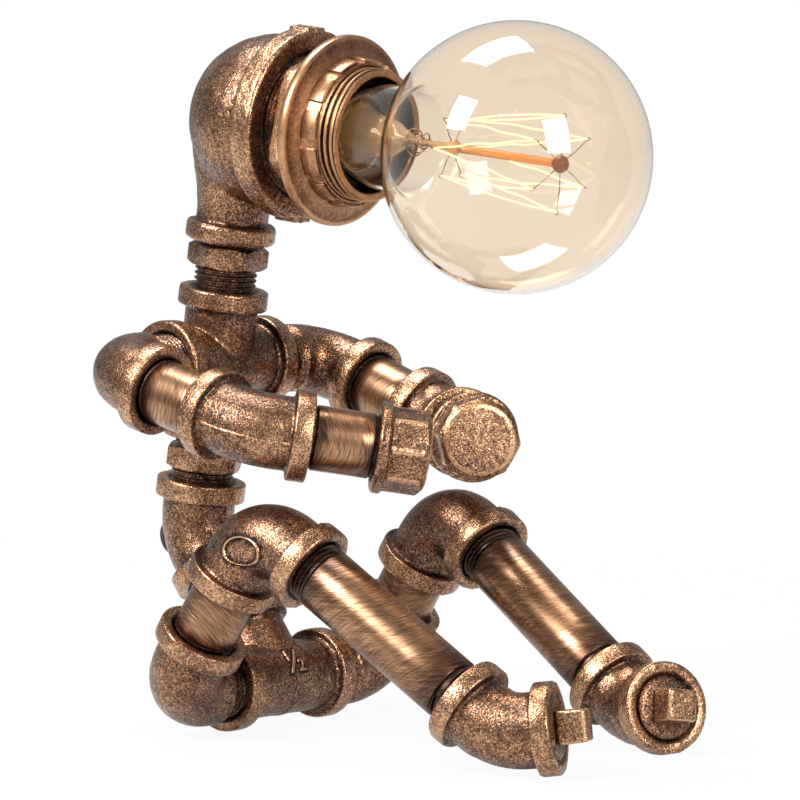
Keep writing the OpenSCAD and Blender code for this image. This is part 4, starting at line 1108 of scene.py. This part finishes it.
for side in (RIGHT, LEFT):
    who = side_name[side]
    shoulder = chest @ mirrored[side] @ turned(y=-90) @ ahead(square_reach + shoulder_stand) @ turned(
        z=180 - arm_drop[side])
    upper_arm = shoulder @ turned(x=-90) @ ahead(square_reach)
    arm_elbow = upper_arm @ ahead(upper_arm_show[side] + arm_reach) @ turned(z=arm_turn[side])
    forearm = arm_elbow @ turned(x=-45) @ ahead(arm_reach)
    hand = forearm @ ahead(forearm_show)
    shoulder_elbow = copy(slim_street, who + "_shoulder_casting")
    place(shoulder_elbow, shoulder)
    sand_cast(shoulder_elbow)
    finish(shoulder_elbow, cast_bronze, who + "_upper_arm", "bronze_casting", who + "_shoulder_elbow")
    arm_pipe = nipple(who + "_upper_arm_pipe", upper_arm_show[side], 1.2, 350 + 40 * side)
    place(arm_pipe, upper_arm)
    finish(arm_pipe, wiped_bronze, who + "_upper_arm", "bronze_pipe", who + "_upper_arm")
    bent_elbow = copy(arm_angle, who + "_arm_casting")
    place(bent_elbow, arm_elbow)
    sand_cast(bent_elbow)
    finish(bent_elbow, cast_bronze, who + "_forearm", "bronze_casting", who + "_arm_elbow")
    fore_pipe = nipple(who + "_forearm_pipe", forearm_show, 1.2, 450 + 40 * side)
    place(fore_pipe, forearm)
    finish(fore_pipe, wiped_bronze, who + "_forearm", "bronze_pipe", who + "_forearm")
    hand_cap = new("cylinder", vertices=8, radius=cap_af / 2 / math.cos(math.pi / 8) * mm, depth=(cap_body - 1) * mm)
    hand_cap.name = who + "_hand_cap_casting"
    bpy.ops.object.mode_set(mode="EDIT")
    bpy.ops.mesh.select_all(action="SELECT")
    bpy.ops.transform.translate(value=(0, 0, (cap_body + 1) / 2 * mm))
    bpy.ops.object.mode_set(mode="OBJECT")
    place(hand_cap, turned(z=22.5 + (8, 0)[side]))
    dome = lathe("cap_dome", [
        (0, 0), (0, cap_af), (cap_body - 9, cap_af), (cap_body - 2.4, cap_af / 2 + 0.9),
        (cap_body - 0.5, cap_af / 2 - 1.2), (cap_body, cap_af / 2 - 2.6), (cap_body, 0)], 96)
    use(hand_cap, "BOOLEAN", operation="INTERSECT", solver="EXACT", object=dome)
    bpy.data.objects.remove(dome)
    cap_band = lathe("cap_band", [
        (0, 0), (0, band_r - 1.0), (0.3, band_r - 0.4), (1.0, band_r), (cap_band_w - 1.0, band_r),
        (cap_band_w - 0.3, band_r - 0.4), (cap_band_w, band_r - 1.2), (cap_band_w, 0)], 96)
    join(hand_cap, cap_band)
    use(hand_cap, "REMESH", mode="VOXEL", voxel_size=0.36 * mm)
    use(hand_cap, "SMOOTH", factor=0.5, iterations=2)
    cap_tap = lathe("cap_tap", [
        (-1, 0), (-1, socket_r + 2.6), (0.35, socket_r + 0.9), (1.3, socket_r), (14.4, socket_r), (14.4, 0)], 96)
    use(hand_cap, "BOOLEAN", operation="DIFFERENCE", solver="EXACT", object=cap_tap)
    bpy.data.objects.remove(cap_tap)
    mark_wear_light_and_shade(hand_cap, [])
    wear_light_and_shade = hand_cap.data.attributes["wear_light_and_shade"]
    # painted shade inside the tapped socket; corners, band and top are rubbed light
    for i, v in enumerate(hand_cap.data.vertices):
        out, z = math.hypot(v.co.x, v.co.y) / mm, v.co.z / mm
        corner_line = out > 1.05 * cap_af / 2 or abs(out - cap_af / 2 + 1.7) < 0.7 and z > cap_body - 1.4
        if z > cap_band_w + 0.8 and corner_line:
            wear_light_and_shade.data[i].value = 2.6
        else:
            wear_light_and_shade.data[i].value = 0.8 if out > band_r - 0.9 else (0.35 if z > cap_body - 3 else (
                -1.0 if out < socket_r + 0.5 and z < 13 else 0.1))
    place(hand_cap, hand)
    sand_cast(hand_cap)
    finish(hand_cap, cast_bronze, who + "_forearm", "bronze_casting", who + "_hand_cap")

for spare in (angle_elbow, street_elbow, square_elbow, slim_street, arm_angle):
    bpy.data.objects.remove(spare)

# ---------- Bulb glass ----------
# A blown globe of thin amber glass on a short neck, with an even wall.

globe_z, globe_r, glass_neck_r, glass_wall = collar_z + collar_h + 75.2, 44.0, 17.5, 1.0
cap_front = globe_z - 65.0
cap_back = cap_front - 21.0


def globe_outline(radius, neck, back, foot):
    """From the foot in the cap, up the neck and round the globe: (height, radius) pairs."""
    fillet = 7.0
    run = math.sqrt((radius + fillet) ** 2 - (neck + fillet) ** 2)
    top = math.atan2(run, neck + fillet)
    outline = [(back, foot), (cap_front + 0.2, foot)]
    outline += [(cap_front + 0.2 + 8 * (1 - math.cos(math.radians(15 * k))),
                 foot + (neck - foot) * math.sin(math.radians(15 * k))) for k in range(1, 7)]
    outline += [(globe_z - run + fillet * math.sin(top * k / 8), neck + fillet - fillet * math.cos(top * k / 8))
                for k in range(9)]
    low = math.atan2(-(run * radius / (radius + fillet)), (neck + fillet) * radius / (radius + fillet))
    outline += [(globe_z + radius * math.sin(a), radius * math.cos(a)) for a in
                (low + (math.pi / 2 - low) * k / 56 for k in range(1, 57))]
    return outline


outside = globe_outline(globe_r, glass_neck_r, cap_front - 3, 12.6)
inside = globe_outline(globe_r - glass_wall, glass_neck_r - glass_wall, cap_front - 2, 11.6)
bulb_glass = lathe("bulb_glass", [(cap_front - 3, 11.0)] + outside, 144)
bulb_hollow = lathe("bulb_hollow", [(cap_front - 2, 0)] + inside, 144)
pick(bulb_hollow, "FACE", lambda f: True)
bpy.ops.mesh.flip_normals()
bpy.ops.object.mode_set(mode="OBJECT")
pick(bulb_glass, "VERT", lambda v: abs(v.co.z / mm - cap_front + 3) < 0.01 and math.hypot(v.co.x, v.co.y) < 11.2 * mm)
bpy.ops.mesh.edge_face_add()
bpy.ops.object.mode_set(mode="OBJECT")
join(bulb_glass, bulb_hollow)
place(bulb_glass, mouth)
amber_glass = bpy.data.materials.new("amber_glass")
tree, make, link = nodes_of(amber_glass)
shader = tree.nodes["Principled BSDF"]
shader.inputs["Transmission Weight"].default_value = 1.0
shader.inputs["Roughness"].default_value = 0.0
shader.inputs["IOR"].default_value = 1.45
glass_tint = make("ShaderNodeTexNoise", Scale=1 / (60 * mm), Detail=1.0)
glass_tone = make("ShaderNodeValToRGB")
glass_tone.color_ramp.elements[0].color = (0.925, 0.825, 0.712, 1)
glass_tone.color_ramp.elements[1].color = (0.935, 0.850, 0.748, 1)
link(make("ShaderNodeTexCoord").outputs["Object"], glass_tint.inputs["Vector"])
link(glass_tint.outputs["Fac"], glass_tone.inputs[0])
link(glass_tone.outputs["Color"], shader.inputs["Base Color"])
finish(bulb_glass, amber_glass, "bulb", "amber_glass", "bulb_globe")

# ---------- Bulb stem ----------
# Lead glass: a flare sealed to the neck's foot, drawn in to a pinch, then a rod with two beads that hold the wires.

bead_low, bead_high = globe_z - 26.0, globe_z + 18.0
stem_foot = cap_front - 2.0
bulb_stem = lathe("bulb_stem_glass", [
    (stem_foot - 2, 7.2), (stem_foot - 2, 8.1), (stem_foot, 8.1), (stem_foot, 11.0), (stem_foot + 0.5, 11.2),
    (stem_foot + 1.2, 10.6), (stem_foot + 4, 9.0), (stem_foot + 8, 7.6), (stem_foot + 12, 6.7),
    (stem_foot + 16, 5.6), (stem_foot + 19.5, 4.3), (stem_foot + 22, 3.3), (stem_foot + 24, 2.0),
    (stem_foot + 26, 1.55), (bead_low - 3.0, 1.4), (bead_low - 2.0, 1.7), (bead_low - 1.2, 2.4), (bead_low, 2.75),
    (bead_low + 1.2, 2.4), (bead_low + 2.0, 1.7), (bead_low + 3.0, 1.4), (globe_z, 1.4), (bead_high - 3.0, 1.45),
    (bead_high - 1.9, 1.9), (bead_high - 1.0, 2.7), (bead_high, 3.0), (bead_high + 1.2, 2.7),
    (bead_high + 2.2, 1.8), (bead_high + 2.7, 0)], 40)
stem_well = lathe("stem_well", [
    (stem_foot - 3, 0), (stem_foot - 3, 7.2), (stem_foot + 3, 7.2), (stem_foot + 8, 6.3), (stem_foot + 13, 4.9),
    (stem_foot + 16, 3.4), (stem_foot + 18, 1.6), (stem_foot + 18.6, 0)], 40)
use(bulb_stem, "BOOLEAN", operation="DIFFERENCE", solver="EXACT", object=stem_well)
bpy.data.objects.remove(stem_well)
pick(bulb_stem, "VERT", lambda v: stem_foot + 17.5 < v.co.z / mm < stem_foot + 26)
bpy.ops.transform.resize(value=(1.45, 0.62, 1), center_override=(0, 0, 0))
bpy.ops.object.mode_set(mode="OBJECT")
# depth of colour: pale flare, orange rod, brown end bead
depth = bulb_stem.data.attributes.new("depth", "FLOAT", "POINT")
for i, v in enumerate(bulb_stem.data.vertices):
    z = v.co.z / mm
    depth.data[i].value = 1.0 if z > bead_high - 2.6 else min(0.6, max(0.0, (z - bead_low) / 26))
place(bulb_stem, mouth)
stem_glass = bpy.data.materials.new("stem_glass")
tree, make, link = nodes_of(stem_glass)
shader = tree.nodes["Principled BSDF"]
shader.inputs["Transmission Weight"].default_value = 0.72
shader.inputs["Roughness"].default_value = 0.08
shader.inputs["IOR"].default_value = 1.5
stem_streak = make("ShaderNodeTexNoise", Scale=1 / (9 * mm), Detail=2.0)
stem_mix = make("ShaderNodeMath", operation="MULTIPLY_ADD")
stem_mix.inputs[1].default_value = 0.12
stem_tone = make("ShaderNodeValToRGB")
ramp = stem_tone.color_ramp
ramp.elements[0].position, ramp.elements[0].color = 0.04, (0.90, 0.68, 0.38, 1)
ramp.elements[1].position, ramp.elements[1].color = 1.0, (0.30, 0.115, 0.035, 1)
ramp.elements.new(0.30).color = (0.93, 0.47, 0.13, 1)
ramp.elements.new(0.74).color = (0.90, 0.42, 0.11, 1)
link(make("ShaderNodeTexCoord").outputs["Object"], stem_streak.inputs["Vector"])
link(stem_streak.outputs["Fac"], stem_mix.inputs[0])
link(make("ShaderNodeAttribute", attribute_name="depth").outputs["Fac"], stem_mix.inputs[2])
link(stem_mix.outputs[0], stem_tone.inputs[0])
link(stem_tone.outputs["Color"], shader.inputs["Base Color"])
finish(bulb_stem, stem_glass, "bulb", "amber_glass", "bulb_stem")

# ---------- Filament and its wires ----------
# A long carbon filament laced up and down between two crowns of hooked wires, glowing as the lamp is lit.

legs, cage_low, cage_high = 12, 10.5, 15.5


def corner(i):
    """Corner i of the lacing: even ones at the low crown, odd ones at the high crown."""
    out, z = ((cage_low, bead_low), (cage_high, bead_high))[i % 2]
    a = math.tau * i / legs
    return Vector((out * math.cos(a), out * math.sin(a), z))


lacing = []
for i in range(legs):
    a, b = corner(i), corner(i + 1)
    mid = (a + b) / 2
    bow = Vector((mid.x, mid.y, 0)).normalized() * (0.9 if i % 3 else -0.7)
    across = (b - a).cross(bow).normalized()
    for k in range(14):
        t = k / 14
        swell = math.sin(math.pi * t)
        lacing.append(a.lerp(b, t) + bow * swell + across * 0.35 * math.sin(5.0 * math.pi * t + i) * swell)
filament = wire("filament_lacing", lacing, 0.27, closed=True)
place(filament, mouth)
filament_glow = bpy.data.materials.new("filament_glow")
tree, make, link = nodes_of(filament_glow)
shader = tree.nodes["Principled BSDF"]
shader.inputs["Base Color"].default_value = (0.9, 0.62, 0.25, 1)
shader.inputs["Roughness"].default_value = 0.6
shader.inputs["Emission Strength"].default_value = 1.5
glow_noise = make("ShaderNodeTexNoise", Scale=1 / (7 * mm), Detail=1.0)
glow_tone = make("ShaderNodeValToRGB")
glow_tone.color_ramp.elements[0].color = (1.0, 0.72, 0.34, 1)
glow_tone.color_ramp.elements[1].color = (1.0, 0.88, 0.58, 1)
link(make("ShaderNodeTexCoord").outputs["Object"], glow_noise.inputs["Vector"])
link(glow_noise.outputs["Fac"], glow_tone.inputs[0])
link(glow_tone.outputs["Color"], shader.inputs["Emission Color"])
finish(filament, filament_glow, "bulb", "filament", "bulb_filament")

hooks = []
for i in range(legs):
    tip = corner(i)
    hub = Vector((0, 0, tip.z))
    way = (tip - hub).normalized()
    reach = (tip - hub).length
    points = [hub + way * 1.6, hub + way * reach * 0.5 + Vector((0, 0, 0.5 if i % 2 else -0.5)), tip - way * 0.7]
    points += [tip + way * 0.75 * math.sin(k * math.pi / 4 - math.pi / 2)
               + Vector((0, 0, 0.75 * math.cos(k * math.pi / 4 - math.pi / 2) * (1 if i % 2 else -1)))
               for k in range(1, 6)]
    hooks.append(wire("hook", points, 0.17, around=2))
for s in (-1, 1):
    hooks.append(wire("lead", [
        (4.4 * s, 0, stem_foot + 6), (4.0 * s, 0.6, stem_foot + 14), (3.4 * s, 0, stem_foot + 21),
        (4.6 * s, 0.8, stem_foot + 27), (6.4 * s, -0.8, stem_foot + 32), (7.4 * s, 0.6, bead_low - 5),
        (9.0 * s, 0.3, bead_low - 1.6), (cage_low * s, 0, bead_low)], 0.25, around=2))
# spare wire is left wound in loose curls round the pinch
for s in (-1, 1):
    curls = []
    for k in range(64):
        t, a = k / 63, s * math.tau * 3.4 * k / 63
        out = 3.0 + 1.5 * math.sin(7.3 * t + s) + 0.9 * math.cos(17.0 * t)
        curls.append((out * math.cos(a) + 0.9 * s, 0.85 * out * math.sin(a),
                      stem_foot + 21.5 + 7.5 * t + 1.7 * math.sin(11.0 * t + 2 * s)))
    hooks.append(wire("curl", curls, 0.27, around=2))
hooks = join(*hooks)
hooks.name = "support_hooks"
place(hooks, mouth)
hook_metal = bpy.data.materials.new("hook_wire")
tree, make, link = nodes_of(hook_metal)
shader = tree.nodes["Principled BSDF"]
shader.inputs["Metallic"].default_value = 0.9
shader.inputs["Roughness"].default_value = 0.35
hook_noise = make("ShaderNodeTexNoise", Scale=1 / (3 * mm), Detail=2.0)
hook_tone = make("ShaderNodeValToRGB")
hook_tone.color_ramp.elements[0].position = 0.42
hook_tone.color_ramp.elements[0].color = (0.17, 0.095, 0.05, 1)
hook_tone.color_ramp.elements[1].position = 0.6
hook_tone.color_ramp.elements[1].color = (0.55, 0.38, 0.23, 1)
link(make("ShaderNodeTexCoord").outputs["Object"], hook_noise.inputs["Vector"])
link(hook_noise.outputs["Fac"], hook_tone.inputs[0])
link(hook_tone.outputs["Color"], shader.inputs["Base Color"])
finish(hooks, hook_metal, "bulb", "steel", "bulb_supports")

# ---------- Bulb cap ----------
# A rolled brass screw cap of 27 mm with its black glass insulator and soldered tip.

cap_r = 13.2
cap_shell = thread("bulb_cap_shell", cap_back + 2.2, cap_front - 5.0, 3.6, 0.95, cap_r, 11.6, 72)
cap_ends = lathe("bulb_cap_ends", [
    (cap_back + 0.4, 9.0), (cap_back, 9.4), (cap_back, 10.6), (cap_back + 0.5, 11.6), (cap_back + 1.6, 12.15),
    (cap_back + 2.6, 12.2), (cap_front - 5.2, 12.2), (cap_front - 4.4, 12.5), (cap_front - 3.6, 13.15),
    (cap_front - 0.5, 13.2), (cap_front, 12.95), (cap_front, 12.7), (cap_front - 2.0, 12.7),
    (cap_front - 4.0, 11.9), (cap_back + 2.4, 11.8), (cap_back + 1.0, 10.9), (cap_back + 0.4, 9.0)], 72)
cap_shell = join(cap_shell, cap_ends)
place(cap_shell, mouth)


def plain_metal(name, dark, light, rough, size=6.0, metallic=1.0):
    """Bare metal with a soft tarnish in two tones."""
    metal = bpy.data.materials.new(name)
    tree, make, link = nodes_of(metal)
    shader = tree.nodes["Principled BSDF"]
    shader.inputs["Metallic"].default_value = metallic
    tarnish = make("ShaderNodeTexNoise", Scale=1 / (size * mm), Detail=5.0)
    tone = make("ShaderNodeValToRGB")
    tone.color_ramp.elements[0].position, tone.color_ramp.elements[0].color = 0.35, dark + (1,)
    tone.color_ramp.elements[1].position, tone.color_ramp.elements[1].color = 0.65, light + (1,)
    polish = make("ShaderNodeMapRange")
    polish.inputs[3].default_value, polish.inputs[4].default_value = rough + 0.1, rough - 0.05
    link(make("ShaderNodeTexCoord").outputs["Object"], tarnish.inputs["Vector"])
    link(tarnish.outputs["Fac"], tone.inputs[0])
    link(tone.outputs["Color"], shader.inputs["Base Color"])
    link(tarnish.outputs["Fac"], polish.inputs[0])
    link(polish.outputs[0], shader.inputs["Roughness"])
    return metal


cap_brass = plain_metal("cap_brass", (0.30, 0.18, 0.075), (0.60, 0.42, 0.20), 0.33)
solder = plain_metal("solder", (0.42, 0.42, 0.40), (0.66, 0.65, 0.62), 0.38, 2.0)
black_glass = plain_metal("black_glass", (0.008, 0.008, 0.012), (0.03, 0.03, 0.036), 0.18, 4.0, 0.0)
finish(cap_shell, cap_brass, "bulb", "brass", "bulb_cap")


def dress(node, material):
    """Gives a solid that keeps its own shape a finish of its own."""
    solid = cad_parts.get(node)
    if solid:
        solid.data.materials.clear()
        solid.data.materials.append(material)


dress("bulb_insulator", black_glass)
dress("bulb_tip", solder)

# ---------- Lampholder's inner parts ----------
# Glazed ceramic coloured dark brown as painted shade for the dim inside of the holder, with a brass screw shell,
# contact tongue and terminal screws, closed by a domed metal cap.

shade_dark_ceramic = bpy.data.materials.new("shade_dark_glazed_ceramic")
tree, make, link = nodes_of(shade_dark_ceramic)
shader = tree.nodes["Principled BSDF"]
shader.inputs["Roughness"].default_value = 0.22
shader.inputs["Coat Weight"].default_value = 0.4
glaze = make("ShaderNodeTexNoise", Scale=1 / (5 * mm), Detail=4.0)
# dark brown that stands for the shade inside the holder
ceramic_shade_tone = make("ShaderNodeValToRGB")
ceramic_shade_tone.color_ramp.elements[0].color = (0.050, 0.022, 0.012, 1)
ceramic_shade_tone.color_ramp.elements[1].color = (0.085, 0.040, 0.022, 1)
link(make("ShaderNodeTexCoord").outputs["Object"], glaze.inputs["Vector"])
link(glaze.outputs["Fac"], ceramic_shade_tone.inputs[0])
link(ceramic_shade_tone.outputs["Color"], shader.inputs["Base Color"])
dress("holder_ceramic", shade_dark_ceramic)
dress("holder_screw_shell", cap_brass)
dress("holder_contact", cap_brass)
dress("terminal_screws", solder)
dress("holder_cap", sheet_bronze)
